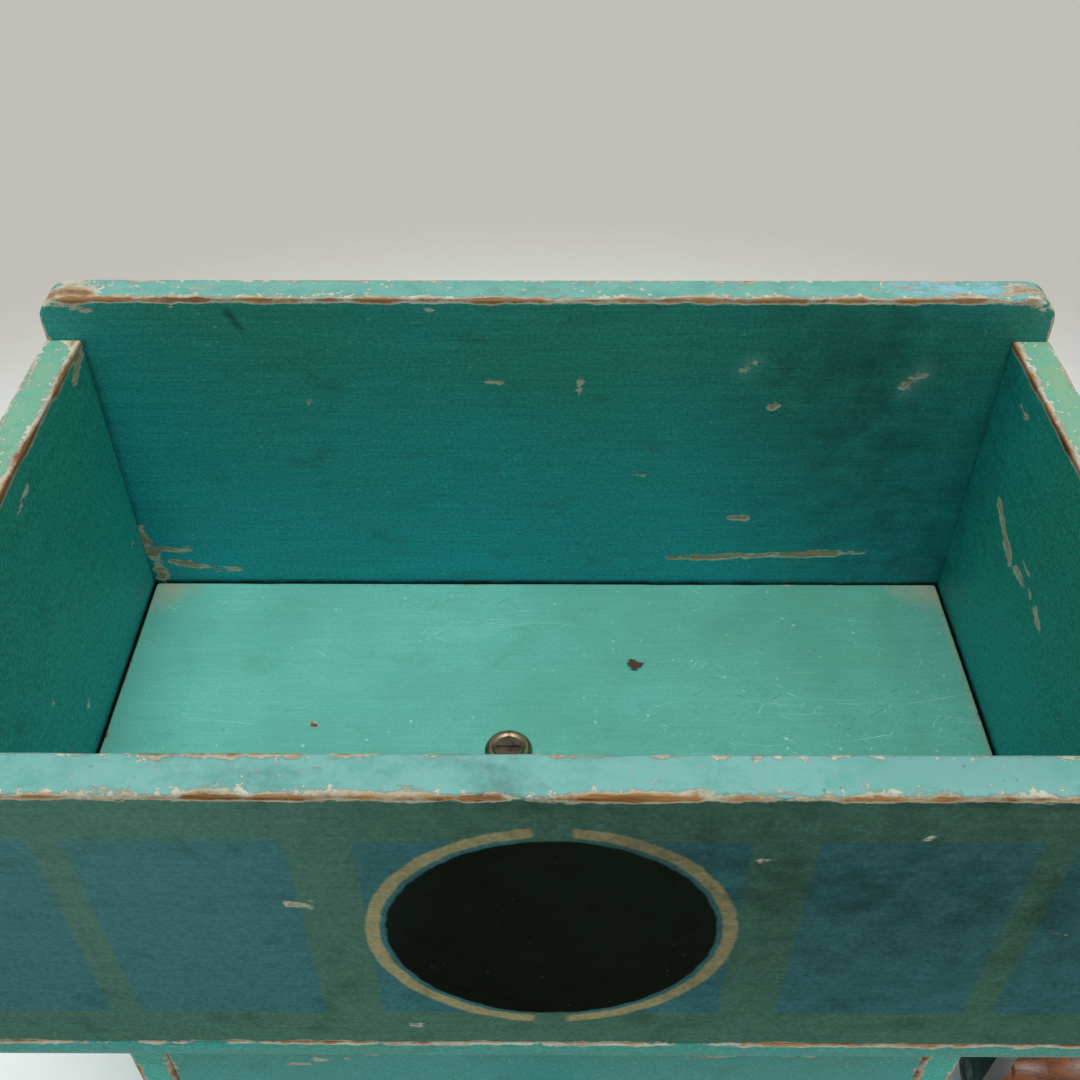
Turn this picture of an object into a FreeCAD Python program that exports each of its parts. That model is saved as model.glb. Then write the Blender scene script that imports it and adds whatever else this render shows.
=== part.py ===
import FreeCAD, Part
import math
import os

import Sketcher

# A box coffee mill with an open bean tray: a horizontal mill shaft under the tray, a crank at the right,
# a fineness screw at the left and a drawer for the grounds at the front.
# Millimetres. Origin at the middle of the plinth's underside, +X right, +Y back, +Z up.

SIZES = (
    ("tray_width", 204, "clear width of the tray"),
    ("tray_depth", 112, "clear depth of the tray"),
    ("tray_height", 74, "tray floor to rim"),
    ("tray_board", 8, "tray wall thickness"),
    ("back_rise", 10.4, "rise of the tray back above the sides"),
    ("back_corner", 6.5, "corner radius of the tray back"),
    ("worn_edge", 1.2, "rounding of the worn board edges"),
    ("floor_thick", 5, "floor panel thickness"),
    ("floor_gap", 0.8, "gap round the floor panel"),
    ("deck_thick", 8, "deck thickness"),
    ("deck_round", 4, "rounding of the deck's lower edge"),
    ("case_width", 176, "outside width of the case"),
    ("case_depth", 108, "outside depth of the case"),
    ("case_height", 96, "case height"),
    ("case_board", 8, "case wall thickness"),
    ("plinth_side", 20, "plinth beyond the case at each side"),
    ("plinth_front", 10, "plinth beyond the case at front and back"),
    ("plinth_thick", 12, "plinth thickness"),
    ("plinth_corner", 5, "corner radius of the plinth"),
    ("plinth_round", 4, "rounding of the plinth's top edge"),
    ("washer_left", 8.3, "cup washer left of the middle"),
    ("washer_clear", 1.4, "cup washer to the throat liner"),
    ("washer_radius", 5.4, "cup washer radius"),
    ("washer_height", 1.9, "cup washer height"),
    ("throat_width", 48, "throat opening along the shaft"),
    ("housing_clear", 1, "burr housing to the case front"),
    ("grinder_clear", 1, "burr housing to the drawer opening"),
    ("liner_wall", 2, "throat liner wall"),
    ("liner_lip", 6, "throat liner lip beyond the opening"),
    ("liner_lip_ends", 11, "throat liner lip at its two ends"),
    ("liner_plate", 1.6, "throat liner lip thickness"),
    ("liner_corner", 4, "corner radius of the throat liner lip"),
    ("shaft_drop", 28, "shaft axis below the deck"),
    ("shaft_radius", 5, "mill shaft radius"),
    ("square_side", 7, "squared parts of the shaft"),
    ("running_gap", 0.06, "radial gap of a running fit"),
    ("seat_gap", 0.05, "radial gap of a seated piece"),
    ("square_gap", 0.05, "gap round a squared part, each side"),
    ("bore_radius", 13, "barrel bore radius"),
    ("casting_wall", 4, "wall of the grinder casting"),
    ("flange_thick", 4, "casting flange thickness"),
    ("flange_ends", 14, "casting flange beyond the throat at its two ends"),
    ("flange_sides", 6, "casting flange beyond the throat at front and back"),
    ("flange_corner", 5, "corner radius of the casting flange"),
    ("web_thick", 5, "webs that stiffen the casting flange"),
    ("worm_gap", 1, "worm to barrel"),
    ("worm_core", 7, "worm core radius"),
    ("worm_pitch", 16, "worm pitch"),
    ("worm_flight", 3, "worm flight thickness"),
    ("worm_end_gap", 2, "worm to the barrel's end wall"),
    ("burr_length", 20, "cone burr length"),
    ("cone_small", 6.8, "cone burr radius at the inlet"),
    ("ring_flare", 0.2, "ring burr's widening towards the outlet"),
    ("burr_gap", 0.9, "burr gap at the outlet"),
    ("ring_wall", 3.5, "ring burr wall at the inlet"),
    ("ring_inset", 2, "ring burr behind the cone's inlet end"),
    ("housing_wall", 3.5, "burr housing wall"),
    ("tooth_depth", 1.5, "depth of the burr teeth"),
    ("cone_teeth", 10, "teeth on the cone burr"),
    ("ring_teeth", 16, "teeth in the ring burr"),
    ("outlet_length", 8, "outlet chamber beyond the burrs"),
    ("outlet_half", 10, "half width of the outlet"),
    ("hub_radius", 9, "bearing hub radius"),
    ("hub_length", 10, "bearing hub length"),
    ("end_plate_thick", 4, "end plate thickness"),
    ("journal_length", 10, "shaft journal in the end plate"),
    ("ball_radius", 3, "thrust ball radius"),
    ("boss_clear", 2, "end plate boss to the case side"),
    ("screw_radius", 4, "adjusting screw radius"),
    ("thumb_radius", 11, "adjusting screw thumb head radius"),
    ("thumb_length", 7, "adjusting screw thumb head length"),
    ("thumb_stand", 5, "thumb head clear of the case"),
    ("thumb_flutes", 12, "flutes round the thumb head"),
    ("rosette_radius", 14, "rosette radius"),
    ("rosette_thick", 2.5, "rosette thickness"),
    ("bearing_radius", 18, "side bearing flange radius"),
    ("bearing_flange", 3, "side bearing flange thickness"),
    ("bearing_length", 16, "side bearing length"),
    ("bush_wall", 2, "bush wall"),
    ("end_float", 0.8, "shaft washer to the side bearing"),
    ("shaft_washer_thick", 1.5, "shaft washer thickness"),
    ("crank_clear", 4, "crank arm to the tray side"),
    ("collar_length", 3, "least length of the shaft collar"),
    ("table_clear", 5, "grip to the table"),
    ("crank_hub", 10, "crank hub radius"),
    ("crank_hub_thick", 9, "crank hub thickness"),
    ("crank_end", 7.5, "crank end radius"),
    ("crank_thick", 6, "crank arm thickness"),
    ("stud_radius", 3, "stud at the shaft's end"),
    ("nut_flats", 6.2, "cap nut half width across corners"),
    ("nut_length", 5, "cap nut hexagon length"),
    ("pin_radius", 3, "grip pin radius"),
    ("pin_head", 5, "grip pin head radius"),
    ("grip_length", 40, "grip length"),
    ("grip_radius", 12, "grip radius at its widest"),
    ("grip_play", 0.4, "end play of the grip"),
    ("drawer_gap", 0.5, "gap round the drawer front"),
    ("drawer_wall", 6, "drawer side thickness"),
    ("drawer_bottom_thick", 4, "drawer bottom thickness"),
    ("drawer_bottom_up", 2, "drawer bottom above the sides' lower edge"),
    ("strip_height", 5, "height of the strips over the drawer"),
    ("strip_width", 7, "width of the strips over the drawer"),
    ("strip_gap", 1, "drawer sides to the strips"),
    ("strip_drop", 2.5, "strips below the top of the drawer opening"),
    ("knob_radius", 11, "drawer knob radius"),
    ("knob_length", 20, "drawer knob length"),
    ("wood_screw", 1.6, "wood screw shank radius"),
    ("wood_screw_head", 3.2, "wood screw head radius"),
    ("slot_width", 1.1, "slot in a screw head"),
)

UPRIGHT = FreeCAD.Rotation()
TO_RIGHT = FreeCAD.Rotation(FreeCAD.Vector(0, 1, 0), 90)
TO_LEFT = FreeCAD.Rotation(FreeCAD.Vector(0, 1, 0), -90)
TO_FRONT = FreeCAD.Rotation(FreeCAD.Vector(1, 0, 0), 90)
TO_BACK = FreeCAD.Rotation(FreeCAD.Vector(1, 0, 0), -90)
DOWN = FreeCAD.Rotation(FreeCAD.Vector(1, 0, 0), 180)

CORNERS = ((-1, -1), (-1, 1), (1, -1), (1, 1))
NEAR = 1e-4


class Size:
    """A length together with the expression that ties it to the sheet."""

    def __init__(self, value, text):
        self.value = value
        self.text = text

    @staticmethod
    def of(thing):
        """Take a size as it is, or a plain number as a size."""
        return thing if isinstance(thing, Size) else Size(float(thing), f"({float(thing)})")

    def __add__(self, other):
        other = Size.of(other)
        return Size(self.value + other.value, f"({self.text} + {other.text})")

    def __sub__(self, other):
        other = Size.of(other)
        return Size(self.value - other.value, f"({self.text} - {other.text})")

    def __mul__(self, other):
        other = Size.of(other)
        return Size(self.value * other.value, f"({self.text} * {other.text})")

    def __truediv__(self, other):
        other = Size.of(other)
        return Size(self.value / other.value, f"({self.text} / {other.text})")

    def __neg__(self):
        return Size(-self.value, f"(-{self.text})")

    __radd__ = __add__
    __rmul__ = __mul__

    @staticmethod
    def largest(first, second):
        """The larger of two sizes, whichever that is after a change."""
        return Size(max(first.value, second.value), f"max({first.text}; {second.text})")


class Sheet:
    """The spreadsheet of driving sizes, read by alias."""

    def __init__(self, document):
        self.cells = document.addObject("Spreadsheet::Sheet", "Sizes")
        for row, (alias, value, note) in enumerate(SIZES, start=1):
            self.cells.set(f"A{row}", note)
            self.cells.set(f"B{row}", str(value))
            self.cells.setAlias(f"B{row}", alias)
        document.recompute()

    def __getattr__(self, alias):
        return Size(float(self.cells.get(alias)), f"Sizes.{alias}")


doc = FreeCAD.newDocument("coffee_mill")
s = Sheet(doc)

# Heights and positions that several pieces share.
case_top = s.plinth_thick + s.case_height
deck_top = case_top + s.deck_thick
floor_top = deck_top + s.floor_thick
rim = floor_top + s.tray_height
tray_x = s.tray_width / 2
tray_y = s.tray_depth / 2
outer_x = tray_x + s.tray_board
outer_y = tray_y + s.tray_board
case_x = s.case_width / 2
case_y = s.case_depth / 2
inside_x = case_x - s.case_board
inside_y = case_y - s.case_board
throat_x = s.throat_width / 2
barrel_radius = s.bore_radius + s.casting_wall
ring_radius = s.bore_radius + s.ring_wall
housing_radius = ring_radius + s.housing_wall
axis_y = housing_radius + s.housing_clear - inside_y
axis_z = case_top - s.shaft_drop
shaft_hole = s.shaft_radius + s.running_gap
drawer_top = axis_z - housing_radius - s.grinder_clear
crank_reach = axis_z - s.grip_radius - s.table_clear

# Stations along the mill shaft, from its left end to its right end.
cone_inlet = -throat_x
cone_outlet = cone_inlet - s.burr_length
chamber_end = cone_outlet - s.outlet_length
plate_end = chamber_end - s.end_plate_thick
boss_end = s.boss_clear - inside_x
journal_end = chamber_end - s.journal_length
ball_middle = journal_end - s.ball_radius
screw_tip = ball_middle - s.ball_radius
barrel_end = throat_x + s.worm_end_gap
hub_face = barrel_end + s.casting_wall
washer_face = case_x + s.bearing_length + s.end_float
collar_face = washer_face + s.shaft_washer_thick
crank_face = Size.largest(outer_x + s.crank_clear, collar_face + s.collar_length)
nut_face = crank_face + s.crank_hub_thick
pin_face = crank_face + s.crank_thick


def bind(thing, **sizes):
    """Tie properties of an object to sizes."""
    for name, size in sizes.items():
        thing.setExpression(name, Size.of(size).text)
    return thing


def place(thing, at, turn=UPRIGHT):
    """Put an object at a point of the mill, turned from its own axes."""
    thing.Placement = FreeCAD.Placement(FreeCAD.Vector(), turn)
    for axis, size in zip("xyz", at):
        thing.setExpression(f"Placement.Base.{axis}", Size.of(size).text)
    return thing


def on_axis(station):
    """A point of the mill shaft's axis."""
    return (station, axis_y, axis_z)


def round_the_axis(station, radius):
    """Three evenly spaced points round the mill shaft's axis, the first straight above it."""
    turns = [math.radians(90 + 120 * number) for number in range(3)]
    return [(station, axis_y + radius * math.cos(turn), axis_z + radius * math.sin(turn)) for turn in turns]


def sketch_on(body, role, name):
    """Add a sketch on one of the body's own origin planes."""
    sketch = body.newObject("Sketcher::SketchObject", name)
    plane = next(f for f in body.Origin.OriginFeatures if f.Role == role)
    sketch.AttachmentSupport = [(plane, "")]
    sketch.MapMode = "FlatFace"
    return sketch


def pin_corner(sketch, line, end, corner):
    """Hold a corner of a sketch by its two distances from the origin."""
    for kind, size, axis in (("DistanceX", corner[0], -2), ("DistanceY", corner[1], -1)):
        size = Size.of(size)
        if abs(size.value) < NEAR:
            sketch.addConstraint(Sketcher.Constraint("PointOnObject", line, end, axis))
        else:
            number = sketch.addConstraint(Sketcher.Constraint(kind, -1, 1, line, end, size.value))
            sketch.setExpression(f"Constraints[{number}]", size.text)


def arc_between(start, end, radius):
    """The short arc from one point to another: to the left for a positive radius, else to the right."""
    chord = end - start
    left = FreeCAD.Vector(-chord.y, chord.x, 0).normalize()
    reach = math.sqrt(max(radius ** 2 - (chord.Length / 2) ** 2, 0.0))
    middle = (start + end) * 0.5 + left * math.copysign(reach, radius)
    first, last = (start, end) if radius > 0 else (end, start)
    angles = [math.atan2(p.y - middle.y, p.x - middle.x) for p in (first, last)]
    circle = Part.Circle(middle, FreeCAD.Vector(0, 0, 1), abs(radius))
    return Part.ArcOfCircle(circle, angles[0], angles[1])


def dome_radius(base, height):
    """The radius of a round cap, from the radius of its base and its height."""
    return (base * base + height * height) / (height * 2)


def outline(sketch, corners):
    """Draw a closed outline through corners (u, v), or (u, v, radius) where an arc arrives at one."""
    points = [FreeCAD.Vector(Size.of(c[0]).value, Size.of(c[1]).value, 0) for c in corners]
    ends = []
    for index, point in enumerate(points):
        following = (index + 1) % len(points)
        bend = Size.of(corners[following][2]) if len(corners[following]) > 2 else None
        if bend is None:
            line = sketch.addGeometry(Part.LineSegment(point, points[following]), False)
            ends.append((line, 1, 2))
        else:
            line = sketch.addGeometry(arc_between(point, points[following], bend.value), False)
            ends.append((line, 1, 2) if bend.value > 0 else (line, 2, 1))
            number = sketch.addConstraint(Sketcher.Constraint("Radius", line, abs(bend.value)))
            sketch.setExpression(f"Constraints[{number}]", bend.text if bend.value > 0 else (-bend).text)
    for index, (line, start, end) in enumerate(ends):
        after, after_start, _ = ends[(index + 1) % len(ends)]
        sketch.addConstraint(Sketcher.Constraint("Coincident", line, end, after, after_start))
        pin_corner(sketch, line, start, corners[index])
    return sketch


def on_face(edge, box, face):
    """Tell whether an edge lies on a face of a box, named like "z+"."""
    axis = "xyz".index(face[0])
    limit = ((box.XMin, box.XMax), (box.YMin, box.YMax), (box.ZMin, box.ZMax))[axis][face[1] == "+"]
    return all(abs(vertex.Point[axis] - limit) < NEAR for vertex in edge.Vertexes)


def runs_along(edge, axis):
    """Tell whether a straight edge runs along an axis."""
    first, last = edge.Vertexes[0].Point, edge.Vertexes[-1].Point
    return all(abs(first[i] - last[i]) < NEAR for i in range(3) if i != "xyz".index(axis))


def round_edges(body, radius, face, along="", skip=""):
    """Round the edges of a body that lie on one face of its box."""
    doc.recompute()
    base = body.Tip
    shape = base.Shape
    box = shape.BoundBox
    names = [f"Edge{number}" for number, edge in enumerate(shape.Edges, start=1)
             if on_face(edge, box, face)
             and (not along or runs_along(edge, along))
             and not (skip and on_face(edge, box, skip))]
    fillet = body.newObject("PartDesign::Fillet", "Round")
    fillet.Base = (base, names)
    bind(fillet, Radius=radius)


def board(label, low, high, rounds=()):
    """A board between two corners, with some of its edges rounded."""
    body = doc.addObject("PartDesign::Body", label)
    span = [Size.of(b) - a for a, b in zip(low, high)]
    sketch = sketch_on(body, "XY_Plane", "Outline")
    outline(sketch, [(0, 0), (span[0], 0), (span[0], span[1]), (0, span[1])])
    pad = body.newObject("PartDesign::Pad", "Thickness")
    pad.Profile = sketch
    bind(pad, Length=span[2])
    place(body, low)
    for rule in rounds:
        round_edges(body, *rule)
    return body


def turned(label, profile, at, turn):
    """A piece turned on a lathe: its profile is (radius, station) along its own axis."""
    body = doc.addObject("PartDesign::Body", label)
    sketch = outline(sketch_on(body, "XZ_Plane", "Profile"), profile)
    revolution = body.newObject("PartDesign::Revolution", "Turning")
    revolution.Profile = sketch
    revolution.ReferenceAxis = (sketch, ["V_Axis"])
    revolution.Angle = 360
    return place(body, at, turn)


def rod(label, radius, length, at, turn):
    """A plain round bar."""
    cylinder = doc.addObject("Part::Cylinder", label)
    bind(cylinder, Radius=radius, Height=length)
    return place(cylinder, at, turn)


def bar(label, low, high):
    """A plain rectangular bar between two corners."""
    block = doc.addObject("Part::Box", label)
    span = [Size.of(b) - a for a, b in zip(low, high)]
    bind(block, Length=span[0], Width=span[1], Height=span[2])
    return place(block, low)


def square_bar(label, side, first, last):
    """A square bar along the mill shaft's axis."""
    half = side / 2
    return bar(label, (first, axis_y - half, axis_z - half), (last, axis_y + half, axis_z + half))


def join(label, *pieces):
    """Fuse pieces into one."""
    fusion = doc.addObject("Part::MultiFuse", label)
    fusion.Shapes = list(pieces)
    return fusion


def cut(label, base, *tools):
    """Cut tools out of a base."""
    result = doc.addObject("Part::Cut", label)
    result.Base = base
    result.Tool = tools[0] if len(tools) == 1 else join(f"{label}_tools", *tools)
    return result


def group(label, pieces):
    """Several alike pieces as one node."""
    compound = doc.addObject("Part::Compound", label)
    compound.Links = list(pieces)
    return compound


def place_within(thing, at, turn, corner):
    """Put an object at a corner that is given in the axes of a piece turned about a point."""
    axes = [turn.multVec(FreeCAD.Vector(*way)) for way in ((1, 0, 0), (0, 1, 0), (0, 0, 1))]
    spot = [Size.of(start) for start in at]
    for step, axis in zip(corner, axes):
        for index, way in enumerate(axis):
            if round(way):
                spot[index] = spot[index] + Size.of(step) * round(way)
    return place(thing, spot, turn)


def screws(label, spots, turn, length, shank=s.wood_screw, head=s.wood_screw_head):
    """Slotted countersunk screws as one node, and their blanks, which cut the holes. A spot is a tip."""
    slot_depth = head * 0.4
    slot_width = head * 0.3
    blanks, slotted = [], []
    for number, spot in enumerate(spots, start=1):
        blank = turned(f"{label}_blank_{number}",
                       [(0, 0), (shank, 0), (shank, length - head + shank), (head, length), (0, length)],
                       spot, turn)
        slot = doc.addObject("Part::Box", f"{label}_slot_{number}")
        bind(slot, Length=head * 2, Width=slot_width, Height=slot_depth)
        place_within(slot, spot, turn, (-head, -slot_width / 2, length - slot_depth))
        blanks.append(blank)
        slotted.append(cut(f"{label}_{number}", blank, slot))
    return group(label, slotted), group(f"{label}_holes", blanks)


def make_tray():
    """The open bean tray: four walls, the floor panel, its screw and the throat liner."""
    top_edges = (s.worn_edge, "z+", "y")
    back = board("tray_back", (-outer_x, tray_y, deck_top), (outer_x, outer_y, rim + s.back_rise),
                 [(s.back_corner, "z+", "y"),
                  (s.worn_edge, "y-", "", "z-"), (s.worn_edge, "y+", "", "z-")])
    left = board("tray_side_left", (-outer_x, -tray_y, deck_top), (-tray_x, tray_y, rim), [top_edges])
    right = board("tray_side_right", (tray_x, -tray_y, deck_top), (outer_x, tray_y, rim), [top_edges])
    front = board("tray_front", (-outer_x, -outer_y, deck_top), (outer_x, -tray_y, rim),
                  [(s.worn_edge, "y-", "", "z-"), (s.worn_edge, "z+", "x")])

    plate_y = s.bore_radius + s.liner_lip
    washer_at = (-s.washer_left, axis_y + plate_y + s.washer_clear + s.washer_radius)
    crest = s.washer_radius - s.washer_height / 2
    dish = crest - s.washer_height / 3
    dish_low = s.washer_height / 3
    shank_hole = s.wood_screw + s.seat_gap
    washer = turned("floor_cup_washer",
                    [(shank_hole, 0), (s.washer_radius, 0), (s.washer_radius, dish_low),
                     (crest, s.washer_height, s.washer_height), (dish, s.washer_height),
                     (shank_hole, dish_low)],
                    (*washer_at, floor_top), UPRIGHT)
    screw_length = s.floor_thick + s.deck_thick * 0.75
    head_rise = (s.washer_height - dish_low) * 0.75
    head_radius = s.wood_screw + (dish - shank_hole) * 0.75
    neck = screw_length + dish_low
    screw_blank = turned("floor_screw_blank",
                         [(0, 0), (s.wood_screw, s.wood_screw * 2), (s.wood_screw, neck),
                          (head_radius, neck + head_rise), (0, neck + head_rise)],
                         (*washer_at, floor_top - screw_length), UPRIGHT)
    slot_half = s.slot_width / 2
    slot = bar("floor_screw_slot",
               (washer_at[0] - s.washer_radius, washer_at[1] - slot_half, floor_top + s.washer_height / 2),
               (washer_at[0] + s.washer_radius, washer_at[1] + slot_half, floor_top + s.washer_height))
    floor_screw = cut("floor_screw", screw_blank, slot)

    sleeve_x = throat_x + s.liner_wall
    sleeve_y = s.bore_radius + s.liner_wall
    plate_x = throat_x + s.liner_lip_ends
    plate = board("throat_liner_lip", (-plate_x, axis_y - plate_y, floor_top),
                  (plate_x, axis_y + plate_y, floor_top + s.liner_plate),
                  [(s.liner_corner, "x-", "z"), (s.liner_corner, "x+", "z"), (s.liner_plate / 2, "z+")])
    sleeve = bar("throat_liner_sleeve", (-sleeve_x, axis_y - sleeve_y, case_top),
                 (sleeve_x, axis_y + sleeve_y, floor_top))
    opening = bar("throat_opening", (-throat_x, axis_y - s.bore_radius, axis_z),
                  (throat_x, axis_y + s.bore_radius, rim))
    screw_x = (sleeve_x + plate_x) / 2
    depth = s.floor_thick * 1.6
    liner_screws, screw_holes = screws(
        "throat_liner_screws",
        [(side * screw_x, axis_y + way * s.bore_radius * 0.6, floor_top - depth) for side, way in CORNERS],
        UPRIGHT, depth + s.liner_plate, s.wood_screw * 0.8, s.wood_screw_head * 0.8)
    liner = cut("throat_liner", join("throat_liner_blank", plate, sleeve), opening, screw_holes)

    seat = bar("throat_seat", (-sleeve_x - s.seat_gap, axis_y - sleeve_y - s.seat_gap, case_top),
               (sleeve_x + s.seat_gap, axis_y + sleeve_y + s.seat_gap, floor_top))
    panel = board("tray_floor_blank", (-tray_x + s.floor_gap, -tray_y + s.floor_gap, deck_top),
                  (tray_x - s.floor_gap, tray_y - s.floor_gap, floor_top), [(s.worn_edge / 2, "z+")])
    floor = cut("tray_floor", panel, seat, screw_holes, screw_blank)
    nodes = [back, left, right, front, floor, washer, floor_screw, liner, liner_screws]
    return nodes, (seat, screw_holes, screw_blank)


def make_case(deck_tools):
    """The case under the tray: deck, walls, plinth, strips over the drawer."""
    deck_blank = board("deck_blank", (-outer_x, -outer_y, case_top), (outer_x, outer_y, deck_top),
                       [(s.deck_round, "z-")])
    deck = cut("deck", deck_blank, *deck_tools)
    side_edges = [(s.worn_edge, "y-", "z"), (s.worn_edge, "y+", "z")]
    left_blank = board("case_side_left_blank", (-case_x, -case_y, s.plinth_thick),
                       (-inside_x, case_y, case_top), side_edges)
    right_blank = board("case_side_right_blank", (inside_x, -case_y, s.plinth_thick),
                        (case_x, case_y, case_top), side_edges)
    back = board("case_back", (-inside_x, inside_y, s.plinth_thick), (inside_x, case_y, case_top))
    front = board("case_front", (-inside_x, -case_y, drawer_top), (inside_x, -inside_y, case_top),
                  [(s.worn_edge, "y-", "x", "z+")])
    plinth = board("plinth", (-case_x - s.plinth_side, -case_y - s.plinth_front, 0),
                   (case_x + s.plinth_side, case_y + s.plinth_front, s.plinth_thick),
                   [(s.plinth_corner, "x-", "z"), (s.plinth_corner, "x+", "z"), (s.plinth_round, "z+")])
    strip_top = drawer_top - s.strip_drop
    strips = group("drawer_strips",
                   [bar(f"drawer_strip_{side}", (start, -inside_y, strip_top - s.strip_height),
                        (start + s.strip_width, inside_y, strip_top))
                    for side, start in (("left", -inside_x), ("right", inside_x - s.strip_width))])
    return [deck, back, front, plinth, strips], left_blank, right_blank


def make_grinder():
    """The grinder casting under the deck, its bolts and the end plate."""
    housing_end = cone_inlet - s.ring_inset
    barrel = rod("barrel", barrel_radius, hub_face - housing_end, on_axis(housing_end), TO_RIGHT)
    housing = rod("burr_housing", housing_radius, housing_end - chamber_end + s.casting_wall,
                  on_axis(chamber_end), TO_RIGHT)
    hub = rod("barrel_hub", s.hub_radius, s.hub_length, on_axis(hub_face), TO_RIGHT)
    neck_x = throat_x + s.casting_wall
    neck = bar("throat_neck", (-neck_x, axis_y - barrel_radius, axis_z),
               (neck_x, axis_y + barrel_radius, case_top))
    flange_x = throat_x + s.flange_ends
    flange_y = s.bore_radius + s.flange_sides
    flange_low = case_top - s.flange_thick
    flange = board("throat_flange", (-flange_x, axis_y - flange_y, flange_low),
                   (flange_x, axis_y + flange_y, case_top),
                   [(s.flange_corner, "x-", "z"), (s.flange_corner, "x+", "z")])
    web_y = s.web_thick / 2
    left_web = bar("housing_web", (s.web_thick / 2 - flange_x, axis_y - web_y, axis_z + ring_radius),
                   (-throat_x - s.casting_wall / 2, axis_y + web_y, flange_low))
    right_web = bar("hub_web", (throat_x + s.casting_wall / 2, axis_y - web_y, axis_z + shaft_hole * 1.4),
                    (flange_x - s.web_thick / 2, axis_y + web_y, flange_low))
    bore = rod("barrel_bore", s.bore_radius, barrel_end - housing_end, on_axis(housing_end), TO_RIGHT)
    counterbore = rod("housing_bore", ring_radius + s.seat_gap, housing_end - chamber_end,
                      on_axis(chamber_end), TO_RIGHT)
    shaft_bore = rod("hub_bore", shaft_hole, s.casting_wall + s.hub_length, on_axis(barrel_end), TO_RIGHT)
    throat = bar("throat_hole", (-throat_x, axis_y - s.bore_radius, axis_z),
                 (throat_x, axis_y + s.bore_radius, case_top))
    outlet = bar("grounds_outlet", (chamber_end, axis_y - s.outlet_half, axis_z - housing_radius),
                 (cone_outlet, axis_y + s.outlet_half, axis_z - ring_radius / 2))

    bolt_length = s.flange_thick + s.deck_thick * 0.85
    bolts, bolt_holes = screws(
        "grinder_bolts",
        [(side * (flange_x + neck_x) / 2, axis_y + way * s.bore_radius, flange_low + bolt_length)
         for side, way in CORNERS],
        DOWN, bolt_length)

    plate_screw = s.end_plate_thick * 2.5
    end_screws, end_holes = screws(
        "end_plate_screws",
        round_the_axis(plate_end + plate_screw, ring_radius + s.housing_wall / 2),
        TO_LEFT, plate_screw, s.wood_screw * 0.7, s.wood_screw * 1.05)
    body = cut("grinder_body",
               join("grinder_blank", barrel, housing, hub, neck, flange, left_web, right_web),
               bore, counterbore, shaft_bore, throat, outlet, bolt_holes, end_holes)

    disc = rod("end_plate_disc", housing_radius, s.end_plate_thick, on_axis(plate_end), TO_RIGHT)
    boss = rod("end_plate_boss", s.hub_radius, plate_end - boss_end, on_axis(boss_end), TO_RIGHT)
    journal_bore = rod("journal_bore", shaft_hole, chamber_end - screw_tip, on_axis(screw_tip), TO_RIGHT)
    thread_bore = rod("thread_bore", s.screw_radius + s.running_gap, screw_tip - boss_end,
                      on_axis(boss_end), TO_RIGHT)
    end_plate = cut("end_plate", join("end_plate_blank", disc, boss), journal_bore, thread_bore, end_holes)
    return [body, bolts, end_plate, end_screws], bolt_holes


def toothed(label, profile, grooves, length, count, twist, at):
    """A turned burr with tapering V grooves all round: each end of a groove is (root, mouth, half width)."""
    body = turned(label, profile, at, TO_LEFT)
    sections = []
    for name, (root, mouth, half), station in (("Inlet", grooves[0], 0), ("Outlet", grooves[1], 1)):
        section = sketch_on(body, "XY_Plane", f"{name}Groove")
        turn = FreeCAD.Rotation(FreeCAD.Vector(0, 0, 1), twist * station)
        section.AttachmentOffset = FreeCAD.Placement(FreeCAD.Vector(), turn)
        section.setExpression("AttachmentOffset.Base.z", (length * station).text)
        outline(section, [(root, 0), (mouth, half), (mouth, -half)])
        sections.append(section)
    loft = body.newObject("PartDesign::SubtractiveLoft", "Groove")
    loft.Profile = sections[0]
    loft.Sections = sections[1:]
    loft.Ruled = True
    pattern = body.newObject("PartDesign::PolarPattern", "Teeth")
    pattern.Originals = [loft]
    pattern.Axis = (sections[0], ["N_Axis"])
    pattern.Angle = 360
    bind(pattern, Occurrences=count)
    body.Tip = pattern
    return body


def make_burrs():
    """The two burrs: a fluted cone that turns in a fluted ring."""
    over = s.tooth_depth
    fine = s.tooth_depth / 2
    ring_hole = s.bore_radius + s.ring_flare
    cone_large = ring_hole - s.burr_gap
    cone = toothed("cone_burr_blank",
                   [(0, 0), (s.cone_small, 0), (cone_large, s.burr_length), (0, s.burr_length)],
                   ((s.cone_small - fine, s.cone_small + over, s.tooth_depth * 1.4),
                    (cone_large - s.tooth_depth, cone_large + over, s.tooth_depth * 2)),
                   s.burr_length, s.cone_teeth, 25, on_axis(cone_inlet))
    hole = square_bar("cone_burr_hole", s.square_side + s.square_gap * 2, cone_outlet, cone_inlet)
    ring_length = s.burr_length - s.ring_inset
    ring = toothed("ring_burr",
                   [(s.bore_radius, 0), (ring_radius, 0), (ring_radius, ring_length),
                    (ring_hole, ring_length)],
                   ((s.bore_radius + s.tooth_depth, s.bore_radius - over, s.tooth_depth * 1.6),
                    (ring_hole + fine, ring_hole - over, s.tooth_depth * 1.6)),
                   ring_length, s.ring_teeth, -15, on_axis(cone_inlet - s.ring_inset))
    return [cut("cone_burr", cone, hole), ring]


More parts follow.
